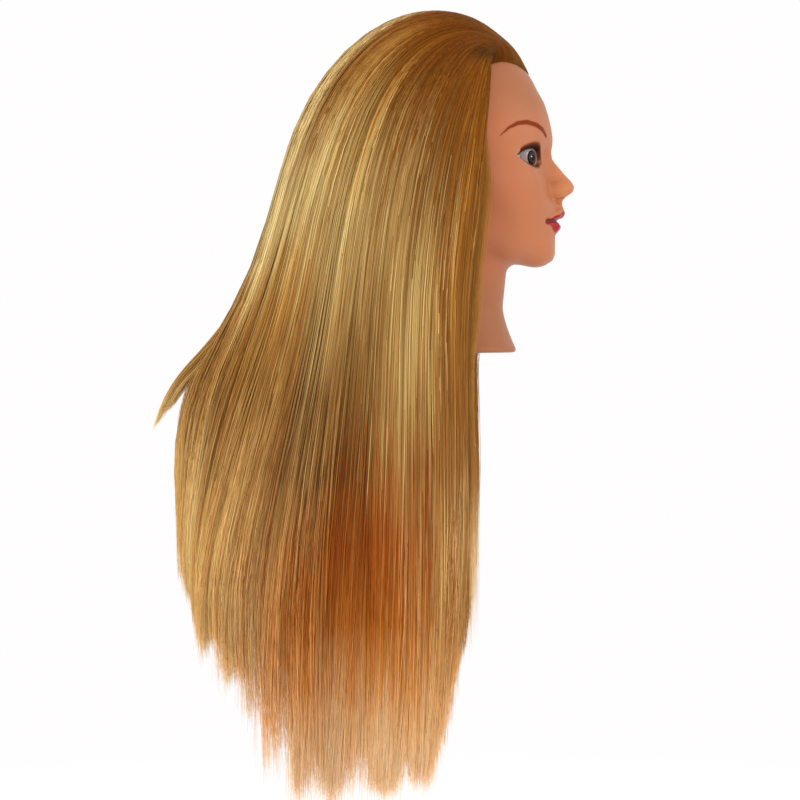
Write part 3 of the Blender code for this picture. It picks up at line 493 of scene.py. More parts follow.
SKIN = (177, 108, 69)
# painted shade towards the hair, also laid on the cheek
SKIN_SHADE_AND_CHEEK = (174, 99, 60)
SKIN_SHADE = (156, 95, 55)
SKIN_NOSE = (198, 122, 70)
SKIN_DARK = (160, 92, 60)
BROW_C = (118, 42, 14)
LINER_SOFT = (86, 32, 14)
LINER = (40, 16, 8)
LIP = (152, 12, 12)
# painted shade in the crease between the lips
LIP_CREASE_SHADE = (96, 6, 5)


def eye_pieces():
    for side, tag in ((-1, "right"), (1, "left")):
        g = GAZE_TURN
        gd = np.array([side * math.sin(g), -math.cos(g), 0.02])
        gd /= np.linalg.norm(gd)
        c = np.array([side * EYE_C[0], -EYE_C[1], EYE_C[2]])
        # a dome facing the gaze, in rings
        a = np.cross([0, 0, 1.0], gd); a /= np.linalg.norm(a)
        b = np.cross(gd, a)
        rings, n = 44, 72
        V, F = [c + gd * EYE_R], []
        ang = [0.0]
        for k in range(1, rings + 1):
            th = 1.62 * k / rings
            bulge = 0.55 * math.exp(-(th / 0.30) ** 2)
            for i in range(n):
                ph = 2 * math.pi * i / n
                V.append(c + (EYE_R - 0.15 + bulge * 0.0) * (gd * math.cos(th) + (a * math.cos(ph) + b * math.sin(ph)) * math.sin(th)))
                ang.append(th)
        for i in range(n):
            j = (i + 1) % n
            F.append((0, 1 + i, 1 + j, 1 + j))
        tri = [(0, 1 + i, 1 + (i + 1) % n) for i in range(n)]
        quad = []
        for k in range(rings - 1):
            for i in range(n):
                j = (i + 1) % n
                quad.append((1 + k * n + i, 1 + (k + 1) * n + i, 1 + (k + 1) * n + j, 1 + k * n + j))
        T = tri + [(q[0], q[1], q[2]) for q in quad] + [(q[0], q[2], q[3]) for q in quad]
        back = len(V)
        V.append(c + gd * (EYE_R * math.cos(1.62)))
        o = 1 + (rings - 1) * n
        T += [(back, o + (i + 1) % n, o + i) for i in range(n)]
        ang.append(3.0)
        me = mesh_from("eyeball_" + tag, np.array(V), np.array(T))
        attr(me, "ang", np.array(ang))
        u = Nodes("eye_white_" + tag, Roughness=0.12)
        u.b.inputs["Coat Weight"].default_value = 0.6
        u.b.inputs["Coat Roughness"].default_value = 0.03
        obj = u.add("ShaderNodeTexCoord").outputs["Object"]
        # painted shade: the white darkens away from the iris, towards the lids over it
        wht = u.mix(u.step(u.val("ang"), 0.35, 1.25), lin(140, 124, 122), lin(108, 80, 74))
        u.link(wht, u.b.inputs["Base Color"])
        ob = put("eyeball_" + tag, me, u.mat)
        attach(ob, "head")
        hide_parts("eye_white_" + tag)

        # printed iris disc, a shade proud of the white
        V, F, ang, phs = [], [], [], []
        rings2, n2 = 22, 96
        tmax = IRIS_A
        V.append(c + gd * (EYE_R + 0.28)); ang.append(0.0); phs.append(0.0)
        for k in range(1, rings2 + 1):
            th = tmax * k / rings2
            rr = EYE_R + 0.28 - 0.16 * (k / rings2) ** 4
            for i in range(n2):
                ph = 2 * math.pi * i / n2
                V.append(c + rr * (gd * math.cos(th) + (a * math.cos(ph) + b * math.sin(ph)) * math.sin(th)))
                ang.append(th / tmax); phs.append(ph)
        T = [(0, 1 + i, 1 + (i + 1) % n2) for i in range(n2)]
        for k in range(rings2 - 1):
            for i in range(n2):
                j = (i + 1) % n2
                p, q, r_, s_ = 1 + k * n2 + i, 1 + (k + 1) * n2 + i, 1 + (k + 1) * n2 + j, 1 + k * n2 + j
                T += [(p, q, r_), (p, r_, s_)]
        e = 1 + (rings2 - 1) * n2
        m = len(V)
        for i in range(n2):
            V.append(V[e + i] * 1.0 - gd * 0.5)
            ang.append(1.0); phs.append(2 * math.pi * i / n2)
        V.append(c + gd * (EYE_R - 0.9)); ang.append(0.9); phs.append(0.0)
        for i in range(n2):
            j = (i + 1) % n2
            T += [(e + i, m + i, m + j), (e + i, m + j, e + j), (m + n2, m + j, m + i)]
        me = mesh_from("iris_disc_" + tag, np.array(V), np.array(T))
        attr(me, "rad", np.array(ang))
        rr, pp = np.array(ang), np.array(phs)
        # where the painted highlight sits on the iris
        attr(me, "glint", np.hypot(rr * np.cos(pp) - side * 0.30, rr * np.sin(pp) - 0.14))
        attr(me, "dir", np.stack([np.cos(phs), np.sin(phs), np.zeros(len(phs))], 1), "FLOAT_VECTOR")
        w = Nodes("iris_" + tag, Roughness=0.10)
        w.b.inputs["Specular IOR Level"].default_value = 0.05
        w.b.inputs["Coat Weight"].default_value = 0.04
        w.b.inputs["Coat Roughness"].default_value = 0.02
        rays = w.noise(w.vec("dir"), 9.0, 3.0, 0.7)
        rad = w.val("rad")
        base = w.mix(w.step(rays, 0.35, 0.7), lin(34, 20, 17), lin(74, 50, 44))
        ring = w.mix(w.step(rad, 0.44, 0.62, 0.6, 0.0), base, lin(90, 66, 58))
        ring = w.mix(w.step(rad, 0.66, 0.86), ring, lin(18, 10, 9))
        pup = w.mix(w.step(rad, 0.40, 0.47, 1.0, 0.0), ring, lin(12, 9, 10))
        # painted highlight: a pale catchlight dot beside the pupil
        pup = w.mix(w.step(w.val("glint"), 0.06, 0.13, 0.9, 0.0), pup, lin(232, 228, 226))
        w.link(pup, w.b.inputs["Base Color"])
        ob = put("iris_disc_" + tag, me, w.mat)
        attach(ob, "head")
        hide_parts("iris_" + tag, "cornea_" + tag)


# ------------------------------------------------------------------ the hair
# Outline of the hair from the side, as (z, y): its back, front edge and top.
BACK = [(298.2, 27), (296, 36), (290, 50.5), (281, 68), (262.5, 88.5), (246, 103.8), (228, 116), (210, 127),
        (192.5, 136), (174, 142), (157, 146), (139, 149), (121, 152), (104, 156.5), (86, 161), (69, 168.5),
        (51, 177), (33, 188.5), (16, 200), (-2, 212.5), (-19, 224), (-37, 231.5), (-55, 235.5), (-80, 238),
        (-120, 238), (-178, 237), (-250, 232), (-320, 221), (-395, 207)]
EDGE = [(262, -40), (255, -37.5), (239, -36), (195, -34.4), (150, -32.5), (120, -30), (90, -26.5), (46, -22.5),
        (2, -22), (-33, -23), (-72, -24), (-100, -25), (-160, -24.5), (-250, -24), (-320, -21), (-395, -16)]
TOP = [(298.6, 0), (297, -12), (291.5, -29), (286.5, -36.5), (281, -43), (275.5, -49.5), (270.5, -56.5),
       (265.5, -62), (259.5, -65.8), (254.5, -68.8), (250, -71.2), (244, -75), (225, -82.5), (196, -88), (100, -88)]
WIDE = [(298.6, 12), (296.5, 29), (291, 41.5), (280.5, 54.5), (262, 69.5), (245, 78.5), (227, 84.5),
        (205, 88), (190, 90), (160, 92.5), (110, 93), (0, 95), (-150, 96), (-300, 94), (-395, 90)]
# Where the ends of the hair reach down to, by y.
ENDS = [(-28, -198), (-26, -218), (-23, -252), (-19, -278), (-12, -304), (-9, -324), (-6, -346), (-3, -366),
        (4, -380), (27, -388), (60, -392), (95, -396), (122, -392), (136, -374), (149, -354), (160, -338),
        (172, -320), (183, -303), (194, -291), (206, -280), (213, -264), (220, -246), (227, -228), (234, -208),
        (240, -184)]
# The same ends in detail: they gather into long wisps.
TIPS = [(-28, -198), (-26, -218), (-23, -252), (-19, -278), (-12, -304), (-8, -324), (-5, -347), (0, -364), (8, -379),
        (20, -373), (42, -387), (60, -379), (75, -381), (91, -395), (100, -383), (108, -388), (122, -395), (132, -372),
        (138, -346), (145, -362), (152, -378), (158, -330), (163, -320), (170, -330), (176, -292), (184, -285),
        (193, -298), (199, -262), (205, -258), (212, -275), (219, -244), (228, -222), (238, -204)]
WISP = [8, 42, 91, 122, 152, 170, 193, 212]
C0 = np.array([0.0, 14.0, 178.0])       # the hair over the head is measured from here


def half_width(y, z):
    """Half width of the hair's outside at y, on the level z."""
    w, back, front = table1(WIDE, z), table1(BACK, z), table1(TOP, z)
    t = np.where(y > 8, (y - 8) / np.maximum(back - 8, 4), (8 - y) / np.maximum(8 - front, 4))
    xa = w * (1 - np.clip(t, 0, 1) ** 2.15) ** (1 / 2.15)
    t = np.clip((y - 60.0) / np.maximum(back - 60.0, 5.0), 0, 1)
    xb = w * (1 - t ** 2.3) ** (1 / 2.3)
    k = smooth01((205.0 - z) / 120.0)
    return xa * (1 - k) + xb * k


def in_hair(x, y, z):
    return (np.abs(x) < half_width(y, z)) & (y < table1(BACK, z)) & (y > table1(TOP, z)) & (z < 298.6)


AZ = np.linspace(-math.pi, math.pi, 181)
EL = np.radians(np.linspace(-46, 90, 103))


def polar_tables():
    a, e = np.meshgrid(AZ, EL, indexing="ij")
    dx, dy, dz = np.sin(a) * np.cos(e), -np.cos(a) * np.cos(e), np.sin(e)
    dx, dy, dz = dx.ravel(), dy.ravel(), dz.ravel()
    out = []
    for test in (in_hair, lambda x, y, z: head_d(x, -y, z, True, False) < 0):
        lo, hi = np.full(dx.shape, 20.0), np.full(dx.shape, 240.0)
        for _ in range(22):
            m = (lo + hi) / 2
            i = test(C0[0] + dx * m, C0[1] + dy * m, C0[2] + dz * m)
            lo, hi = np.where(i, m, lo), np.where(i, hi, m)
        out.append(((lo + hi) / 2).reshape(a.shape))
    env, sk = out
    for _ in range(2):           # ease the outline's corners
        p = np.concatenate([env[-2:-1], env, env[1:2]])
        env = 0.25 * p[:-2] + 0.5 * p[1:-1] + 0.25 * p[2:]
        p = np.concatenate([env[:, :1], env, env[:, -1:]], 1)
        env = 0.25 * p[:, :-2] + 0.5 * p[:, 1:-1] + 0.25 * p[:, 2:]
    env += 0.6 * smooth01((e - 0.1) / 0.5)
    return env, sk


def polar(tab, d):
    """Bilinear look-up of a polar table along directions d from C0."""
    r = np.linalg.norm(d, axis=-1)
    a = np.arctan2(d[..., 0], -d[..., 1])
    e = np.arcsin(np.clip(d[..., 2] / r, -1, 1))
    i = (a - AZ[0]) / (AZ[1] - AZ[0])
    j = np.clip((e - EL[0]) / (EL[1] - EL[0]), 0, len(EL) - 1.001)
    i0 = np.clip(i.astype(int), 0, len(AZ) - 2)
    j0 = j.astype(int)
    fi, fj = i - i0, j - j0
    return (tab[i0, j0] * (1 - fi) * (1 - fj) + tab[i0 + 1, j0] * fi * (1 - fj)
            + tab[i0, j0 + 1] * (1 - fi) * fj + tab[i0 + 1, j0 + 1] * fi * fj)


SEC_Z = np.concatenate([np.arange(116.0, -400.0, -8.0)])
SEC_N = 97


def sections():
    """Outside of the hair on each level, from the middle of the back (0) to the front edge (1)."""
    P = np.zeros((len(SEC_Z), SEC_N, 2))
    L = np.zeros(len(SEC_Z))
    for k, z in enumerate(SEC_Z):
        b, f = float(table1(BACK, z)), float(table1(EDGE, z))
        th = np.linspace(0, math.pi / 2, 260)
        y = np.concatenate([60 + (b - 60) * np.cos(th) ** 0.87, np.linspace(59.5, f, 120)])
        x = half_width(y, np.full(y.shape, z))
        x[0] = 0.0
        # round the front edge over
        c = np.clip((y - f) / 9.0, 0, 1)
        x = x - 7.0 * (1 - np.sqrt(1 - (1 - c) ** 2))
        s = np.concatenate([[0], np.cumsum(np.hypot(np.diff(x), np.diff(y)))])
        L[k] = s[-1]
        q = np.linspace(0, s[-1], SEC_N)
        P[k, :, 0], P[k, :, 1] = np.interp(q, s, x), np.interp(q, s, y)
    T = np.gradient(P, axis=1)
    N = np.stack([-T[..., 1], T[..., 0]], -1)          # outwards for +x
    N /= np.linalg.norm(N, axis=-1, keepdims=True) + 1e-9
    N = np.where((N[..., :1] * (P[..., :1]) + N[..., 1:] * (P[..., 1:] - 40)) < 0, -N, N)
    return P, N, L


def sec_at(tab, s, z):
    i = np.clip((SEC_Z[0] - z) / 8.0, 0, len(SEC_Z) - 1.001)
    j = np.clip(s, 0, 1) * (SEC_N - 1.001)
    i0, j0 = i.astype(int), j.astype(int)
    fi, fj = (i - i0)[..., None], (j - j0)[..., None]
    return (tab[i0, j0] * (1 - fi) * (1 - fj) + tab[i0 + 1, j0] * fi * (1 - fj)
            + tab[i0, j0 + 1] * (1 - fi) * fj + tab[i0 + 1, j0 + 1] * fi * fj)


def deep(s, z):
    """Thickness of the hair, from its outside in, below the head."""
    back = np.interp(z, (-384, -300, -120, -40, 110), (30, 52, 82, 76, 46))
    side = np.interp(z, (-390, -250, 110), (17, 26, 26))
    return side + (back - side) * smooth01((0.42 - s) / 0.34)


# Where the hair is rooted at the front, and the way it is combed, by s.
LINE = [(0.00, (0, -73.5, 242)), (0.12, (11, -70.5, 246)), (0.26, (22, -65, 250.5)), (0.45, (33, -56.5, 252)),
        (0.62, (41, -49.5, 251)), (0.78, (48, -42, 247.5)), (0.90, (55, -37, 238)), (1.00, (62, -34.5, 220))]
COMB1 = [(0.00, (0, -44, 300)), (0.26, (24, -44, 296)), (0.45, (38, -42, 290)), (0.62, (48, -42, 281)),
         (0.80, (56, -41.5, 270)), (1.00, (64, -39, 244))]


def ctrl(t, s):
    k = [a for a, _ in t]
    return np.stack([np.interp(s, k, [p[i] for _, p in t]) for i in range(3)], -1)


def fan(s, z):
    """The hair fans out at the back and hangs straight at the front."""
    L0, L = SEC_L[0], np.interp(-z, -SEC_Z, SEC_L)
    v = 1 - s
    v = v + 0.16 * smooth01((30.0 - z) / 260.0) * np.exp(-((v - 0.62) / 0.24) ** 2)
    return 1 - (v * L0 + (L - L0) * v ** 2.3) / L


def wisps(step, spread, seed):
    """Centres, half widths and lengths of the wisps that the ends gather into."""
    rng = np.random.default_rng(seed)
    e = np.cumsum(step * (1 + spread * rng.uniform(-1, 1, int(1.4 / step))))
    e = np.concatenate([[-0.02], e[e < 1.03], [1.05]])
    return (e[:-1] + e[1:]) / 2, np.diff(e) / 2, rng.random(len(e) - 1)


SMALL = wisps(0.026, 0.4, 4)


def gather(s, w):
    i = np.argmin(np.abs(s[:, None] - w[0][None]), 1)
    return w[0][i], np.clip(np.abs(s - w[0][i]) / w[1][i], 0, 1), w[2][i]


def cap_path(s, t, ENV):
    """Point directions over the head, for s and t arrays; t 0 is the hairline, t 1 the level 112."""
    zq = np.full(s.shape, 112.0)
    q, q2 = sec_at(SEC_P, s, zq), sec_at(SEC_P, fan(s, zq - 20.0), zq - 20.0)
    Q = np.concatenate([q, zq[..., None]], -1)
    st = 1 - np.clip(1 - s, 0, 1) ** 0.66
    H, P1 = ctrl(LINE, st), ctrl(COMB1, st)
    up = np.interp(s, (0, .3, .7, 1), (165, 160, 140, 95))[..., None]
    fall = (q - q2) / 20.0
    P2 = np.concatenate([q + fall * up * 0.9, 112 + up], -1)
    P2[..., 0] *= 0.96
    t = t[..., None]
    B = (1 - t) ** 3 * H + 3 * (1 - t) ** 2 * t * P1 + 3 * (1 - t) * t * t * P2 + t ** 3 * Q
    d = B - C0
    d /= np.linalg.norm(d, axis=-1, keepdims=True)
    return d


CT_LONG = np.array([0, 0.015, 0.036, 0.062, 0.092, 0.125, 0.162, 0.20, 0.24, 0.282, 0.325, 0.37, 0.415, 0.462, 0.51, 0.56, 0.612, 0.67, 0.73, 0.80, 0.89, 1.0])
CT_SHORT = np.array([0, 0.04, 0.11, 0.20, 0.32, 0.46, 0.62, 0.80, 1.0])


def strands(n_lock, per, kind, side, seed, outer):
    """Paths of hair: (n, points, 3), the tone along each, and its place.  kind: "side" or "back"."""
    rng = np.random.default_rng(seed)
    if kind == "side":
        ls = S_SPLIT + (1 - S_SPLIT) * rng.random(n_lock) ** 0.94
        lside = np.full(n_lock, side)
    else:
        ls = S_SPLIT * rng.random(n_lock)
        lside = np.where(rng.random(n_lock) < 0.5, -1, 1)
    if outer:
        lt0, ldepth = np.zeros(n_lock), rng.random(n_lock) ** 1.6 * 0.42
    else:
        lt0 = rng.random(n_lock) ** 0.9 * (0.80 if kind == "side" else 0.62)
        ldepth = 0.02 + 0.88 * rng.random(n_lock)
    ltone, ltone2, lshift, lend = (rng.normal(0, 1, n_lock) for _ in range(4))
    wave = rng.random((n_lock, 2))
    i = np.repeat(np.arange(n_lock), per)
    n = len(i)
    s = ls[i] + rng.normal(0, 0.0105, n)
    if kind == "side":
        s = np.where(s < S_SPLIT * 0.985, 2 * S_SPLIT * 0.985 - s, s)
        s = np.where(s > 1.0, 2.0 - s, s)
    else:
        s = np.where(s > S_SPLIT * 1.015, 2 * S_SPLIT * 1.015 - s, s)
    sd = lside[i].astype(float)
    sd = np.where(s < 0, -sd, sd)            # strands may cross the middle line
    s = np.abs(s)
    t0 = np.clip(lt0[i] + (rng.normal(0, 0.03, n) if not outer else np.abs(rng.normal(0, 0.014, n))), 0, 0.9)
    dep = np.clip(ldepth[i] + rng.normal(0, 0.035, n), 0.0, 1.0)
    # over the head
    CT = CT_LONG if outer else CT_SHORT
    at = np.arange(len(CT), dtype=float)                 # no two locks bend at the same places
    at = at[None] + rng.uniform(-0.5, 0.5, n_lock)[i][:, None] * ((at > 0) & (at < len(CT) - 1))[None]
    t = t0[:, None] + (1 - t0[:, None]) * np.interp(at, np.arange(len(CT)), CT)
    sg = np.repeat(s[:, None], len(CT), 1)
    d = cap_path(sg, t, ENV)
    re, rs = polar(ENV, d), polar(SKULL, d)
    room = np.maximum(re - rs - 0.5, 0.3)
    T = np.minimum(room, deep(sg, np.full(sg.shape, 112.0)))
    run = t - t0[:, None]
    off = dep[:, None] * T
    off = off + (room - off) * np.exp(-run / 0.040)
    P = C0 + d * (re - off)[..., None]
    # falling free
    zf = np.array([84.0, 50.0, 14.0, -32.0, -95.0, -165.0])
    m = len(zf) + 4
    zl = np.full(n, -230.0)
    y_low = sec_at(SEC_P, fan(s, zl), zl)[:, 1] - sec_at(SEC_N_, fan(s, zl), zl)[:, 1] * deep(s, zl) * dep
    sc, sd_, sl = gather(s, SMALL)
    ragged = 6.0 * sl + 7.0 * sd_
    free = rng.random(n) < 0.25
    tipz = table1(TIPS, y_low) + np.where(free, 14.0, ragged) + np.abs(lend[i]) * 8.0 + rng.exponential(13.0, n) - 6.0
    short = rng.random(n) < 0.34
    tipz = np.where(short, tipz + rng.random(n) ** 1.3 * 130.0, tipz)
    tipz = np.maximum(tipz, -396.0 + 6.0 * rng.random(n))
    last = np.stack([tipz + (-165 - tipz) * q for q in (0.66, 0.36, 0.14, 0.0)], 1)
    Z = np.concatenate([np.repeat(zf[None], n, 0), last], 1)
    frac = np.linspace(0.10, 1.0, m)
    Z = np.where((tipz > -200.0)[:, None], 104 + (tipz[:, None] - 104) * frac[None] ** 0.95, Z)
    q = np.clip((104 - Z) / (104 - tipz[:, None]), 0, 1)
    clump = 0.25 * q + 0.50 * q ** 4
    sv = s[:, None] * (1 - clump) + np.abs(ls[i])[:, None] * clump
    pull = np.where(free, 0.0, 1.0)[:, None] * q ** 7
    sv = sv + 0.55 * (sc - s)[:, None] * pull
    drift = (lshift[i][:, None] * 3.0 * q ** 1.5 + rng.normal(0, 1, n)[:, None] * 1.8 * q ** 2) / 300.0
    sv = np.clip(fan(np.clip(sv + drift, 0, 1), Z), 0, 1)
    xy, nv = sec_at(SEC_P, sv, Z), sec_at(SEC_N_, sv, Z)
    wob = rng.normal(0, 1.2, n)[:, None] * q ** 1.3 + ltone2[i][:, None] * 1.6 * q ** 2
    off = np.maximum(dep[:, None] * deep(sv, Z) + wob, -0.5)
    L = np.concatenate([xy - nv * off[..., None], Z[..., None]], -1)
    wc = np.array(WISP, float)
    wc = wc[np.argmin(np.abs(y_low[:, None] - wc[None]), 1)]
    L[..., 1] += (np.clip(wc - y_low, -14, 14) * np.where(free, 0.1, 0.42))[:, None] * q ** 8
    P = np.concatenate([P, L], 1)
    for _ in range(2):
        P[:, 2:-1] = 0.25 * P[:, 1:-2] + 0.5 * P[:, 2:-1] + 0.25 * P[:, 3:]
    # small irregular sway
    tt = np.linspace(0, 1, P.shape[1])[None]
    ph, fr = rng.random((n, 2)) * 6.28, 2.0 + 4.0 * rng.random((n, 2))
    amp = (0.05 + 0.55 * tt ** 1.5) * (tt > 0.02)
    P[:, :, 1] += amp * np.sin(tt * fr[:, :1] * 6.28 + ph[:, :1])
    P[:, :, 0] += amp * 0.7 * np.sin(tt * fr[:, 1:] * 6.28 + ph[:, 1:])
    P[:, :, 0] *= sd[:, None]
    k = smooth01((200 - P[..., 2]) / 420.0)
    tone = ltone[i][:, None] * (1 - k) + ltone2[i][:, None] * k
    tone = tone + 0.7 * np.sin(6.28 * (wave[i, :1] + P[..., 2] / (170 + 200 * wave[i, 1:])))
    shift = np.stack([lshift[i] + rng.normal(0, 0.5, n), ltone2[i] + rng.normal(0, 0.5, n)], 1)
    return P, tone * (0.50 + 0.50 * k) + rng.normal(0, 0.70, n)[:, None], shift


def tubes(P, width, sides=3, tip=0.2, root=0.5):
    """Closed tapering tubes along each path, and the way each vertex faces: mostly out from the hair's body."""
    n, m, _ = P.shape
    T = np.gradient(P, axis=1)
    T /= np.linalg.norm(T, axis=-1, keepdims=True) + 1e-9
    ref = P - np.array([0.0, 30.0, 0.0])
    ref[..., 2] = np.maximum(P[..., 2] - 175.0, 0.0)
    ref /= np.linalg.norm(ref, axis=-1, keepdims=True) + 1e-9
    A = np.cross(T, ref)
    A /= np.linalg.norm(A, axis=-1, keepdims=True) + 1e-9
    B = np.cross(A, T)
    q = np.linspace(0, 1, m)
    prof = np.minimum(1.0, root + (1 - root) * q / 0.08) * np.where(q > 0.70, 1 - (1 - tip) * (np.maximum(q - 0.70, 0) / 0.30) ** 1.2, 1.0)
    R = (width[:, None] / 2) * prof[None]
    V = np.zeros((n, m, sides, 3), np.float32)
    N = np.zeros((n, m, sides, 3), np.float32)
    for k in range(sides):
        a = 2 * math.pi * k / sides - math.pi / 2
        D = A * math.cos(a) + B * math.sin(a) * 0.7
        V[:, :, k] = P + D * R[..., None]
        N[:, :, k] = D + B * 0.35
    N /= np.linalg.norm(N, axis=-1, keepdims=True)
    base = (np.arange(n) * m * sides)[:, None, None]
    r = np.arange(m - 1)[None, :, None] * sides
    k = np.arange(sides)[None, None]
    k2 = (k + 1) % sides
    a, b, c, d = base + r + k, base + r + k2, base + r + sides + k2, base + r + sides + k
    F = np.concatenate([np.stack([a, d, c], -1).reshape(-1, 3), np.stack([a, c, b], -1).reshape(-1, 3)])
    b0 = np.arange(n) * m * sides
    caps = [np.stack([b0, b0 + 1, b0 + 2], 1), np.stack([b0 + (m - 1) * sides, b0 + (m - 1) * sides + 2, b0 + (m - 1) * sides + 1], 1)]
    F = np.concatenate([F] + caps)
    return V.reshape(-1, 3), F, N.reshape(-1, 3)


# The hair's colour by zone: place from the front edge (0) to the back (1), level,
# reach of the zone in both, and the colour. The colours hold the hair's own blonde and caramel
# streaks and also painted light and shade: paler along the back outline and at the ends,
# where light comes through, and darker in the middle of the lower hair, where it shades itself.
ZONES = [
    (0.05, 256, 0.10, 30, (110, 56, 6)), (0.22, 240, 0.16, 50, (102, 51, 4)), (0.03, 195, 0.07, 50, (140, 84, 18)),
    (0.34, 284, 0.28, 26, (132, 70, 6)), (0.35, 225, 0.20, 40, (118, 72, 17)), (0.80, 258, 0.22, 36, (154, 96, 26)),
    (1.00, 250, 0.14, 60, (224, 194, 128)), (0.62, 215, 0.09, 36, (190, 148, 80)), (0.80, 226, 0.07, 30, (144, 92, 30)), (0.20, 165, 0.10, 50, (102, 55, 9)), (0.03, 110, 0.07, 60, (142, 88, 28)),
    (0.45, 155, 0.20, 45, (162, 125, 69)), (0.75, 140, 0.20, 42, (198, 169, 107)), (0.98, 150, 0.10, 62, (214, 186, 124)),
    (0.22, 15, 0.09, 70, (178, 144, 84)), (0.04, 0, 0.07, 100, (144, 92, 36)), (0.52, 60, 0.12, 50, (174, 140, 82)), (0.36, 40, 0.07, 60, (136, 96, 44)),
    (0.86, 25, 0.20, 50, (174, 124, 56)), (0.35, -50, 0.08, 50, (152, 106, 48)), (0.48, -72, 0.115, 60, (74, 30, 3)), (0.67, -104, 0.08, 56, (196, 148, 84)),
    (0.72, -40, 0.16, 36, (154, 102, 42)), (0.75, -105, 0.14, 44, (206, 162, 94)), (1.00, -155, 0.12, 85, (216, 186, 124)),
    (0.36, -215, 0.20, 60, (156, 78, 20)), (0.04, -225, 0.09, 60, (196, 154, 94)), (0.66, -205, 0.10, 45, (188, 108, 40)), (0.98, -228, 0.09, 55, (230, 202, 148)),
    (0.85, -208, 0.14, 64, (246, 204, 126)), (0.42, -258, 0.26, 34, (172, 96, 22)), (0.42, -300, 0.40, 34, (200, 132, 52)), (0.42, -372, 0.50, 40, (210, 180, 142)),
    (0.92, -290, 0.20, 50, (236, 202, 148)),
]
# Painted light by level: the hair is painted brighter towards the ends, standing in for the light through the lower
# hair, and darker over the top.
PAINTED_LIGHT_GAIN = [(-380, 1.75), (-300, 1.34), (-235, 1.06), (-100, 1.0), (60, 0.97), (190, 0.92), (280, 0.86)]


def hair_colour(P, tone, shift=None):
    """Colour along each strand, by place and by its own tone."""
    y, z = P[..., 1], P[..., 2]
    b, f = table1(BACK, z), table1(EDGE, z)
    u = np.clip((y - f) / np.maximum(b - f, 20), 0, 1.1)
    calm = 1 - 0.45 * smooth01((z - 170.0) / 80.0)
    us, zs = (u, z) if shift is None else (u + 0.065 * shift[:, :1] * calm, z + 34.0 * shift[:, 1:] * calm)
    num, den = 0.0, 1e-6
    for uu, zz, su, sz, c in ZONES:
        w = np.exp(-((us - uu) / su) ** 2 - ((zs - zz) / sz) ** 2) + 1e-5
        num, den = num + w[..., None] * np.array(lin(*c)), den + w
    c = num / den[..., None]
    t = (np.clip(tone, -2.4, 2.4) * (1 - 0.3 * smooth01((-200.0 - z) / 100.0)))[..., None]
    # painted light by level: brighter towards the ends, darker on top
    c = c * np.exp(t * np.array([0.23, 0.32, 0.42])) * table1(PAINTED_LIGHT_GAIN, z)[..., None]
    if P.shape[1] > 4:           # the ends are thin and pale
        q = np.linspace(0, 1, P.shape[1])[None, :, None]
        # painted light through the thin ends: paler towards the tips, low down
        pale = 0.40 * smooth01((q - 0.90) / 0.10) * smooth01((-215.0 - z) / 120.0)[..., None]
        c = c * (1 - pale) + np.array(lin(226, 188, 132)) * pale
    # painted light: brighter along the back edge of the lower hair, standing in for light through it
    c = c * (1 + 0.35 * smooth01((u - 0.80) / 0.2) * smooth01((0 - z) / 90.0))[..., None]
    # the middle of the crown, combed back from the forehead, is painted paler: a painted sheen along the top
    mid = np.exp(-(P[..., 0] / 24.0) ** 2) * smooth01((20 - y) / 40.0) * smooth01((z - 235) / 30.0)
    c = c * (1 - 0.6 * mid[..., None]) + np.array(lin(158, 118, 58)) * 0.6 * mid[..., None]
    # painted shadow at the roots, under the front where it turns over
    arch = np.exp(-((y + 36) / 13.0) ** 2 - ((z - 257) / 8.0) ** 2) * (np.abs(P[..., 0]) > 24)
    c = c * (1 - 0.55 * arch[..., None])
    c = c * np.minimum(1.0, 0.90 / np.maximum(c.max(-1, keepdims=True), 1e-6))     # keep the hue of the palest hairs
    return np.concatenate([np.clip(c, 0, 0.95), np.ones(c.shape[:-1] + (1,))], -1)


def hair_material(name, rough=0.40, base=False):
    n = Nodes(name, Roughness=rough)
    n.b.inputs["Specular IOR Level"].default_value = 0.06
    c = n.colour("tint")
    if base:
        a = n.noise(n.vec("flow"), 1.0, 4.0, 0.65)
        c = n.mix(n.step(a, 0.40, 0.68, 0.0, 0.45), c, n.mix(0.5, c, lin(96, 50, 16)))
        n.bump(a, 0.35, 0.001)
    n.link(c, n.b.inputs["Base Color"])
    return n.mat


def strand_pieces(P, tone, width, name, bodies, mat, shift=None):
    """Split into pieces small enough to keep every hair."""
    n, m, _ = P.shape
    tone = tone if tone.ndim == 2 else np.repeat(tone[:, None], m, 1)
    col = hair_colour(P, tone, shift)
    per = 195000 // (6 * (m - 1) + 2)
    k = 0
    for a in range(0, n, per):
        k += 1
        V, F, N = tubes(P[a:a + per], width[a:a + per])
        me = mesh_from(f"{name}_{k}", V, F)
        me.normals_split_custom_set_from_vertices(N)
        attr(me, "tint", np.repeat(col[a:a + per].reshape(-1, 4), 3, 0), "FLOAT_COLOR")
        ob = put(f"{name}_{k}", me, mat)
        if len(bodies) == 2:
            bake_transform(ob)
        else:
            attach(ob, bodies[0])


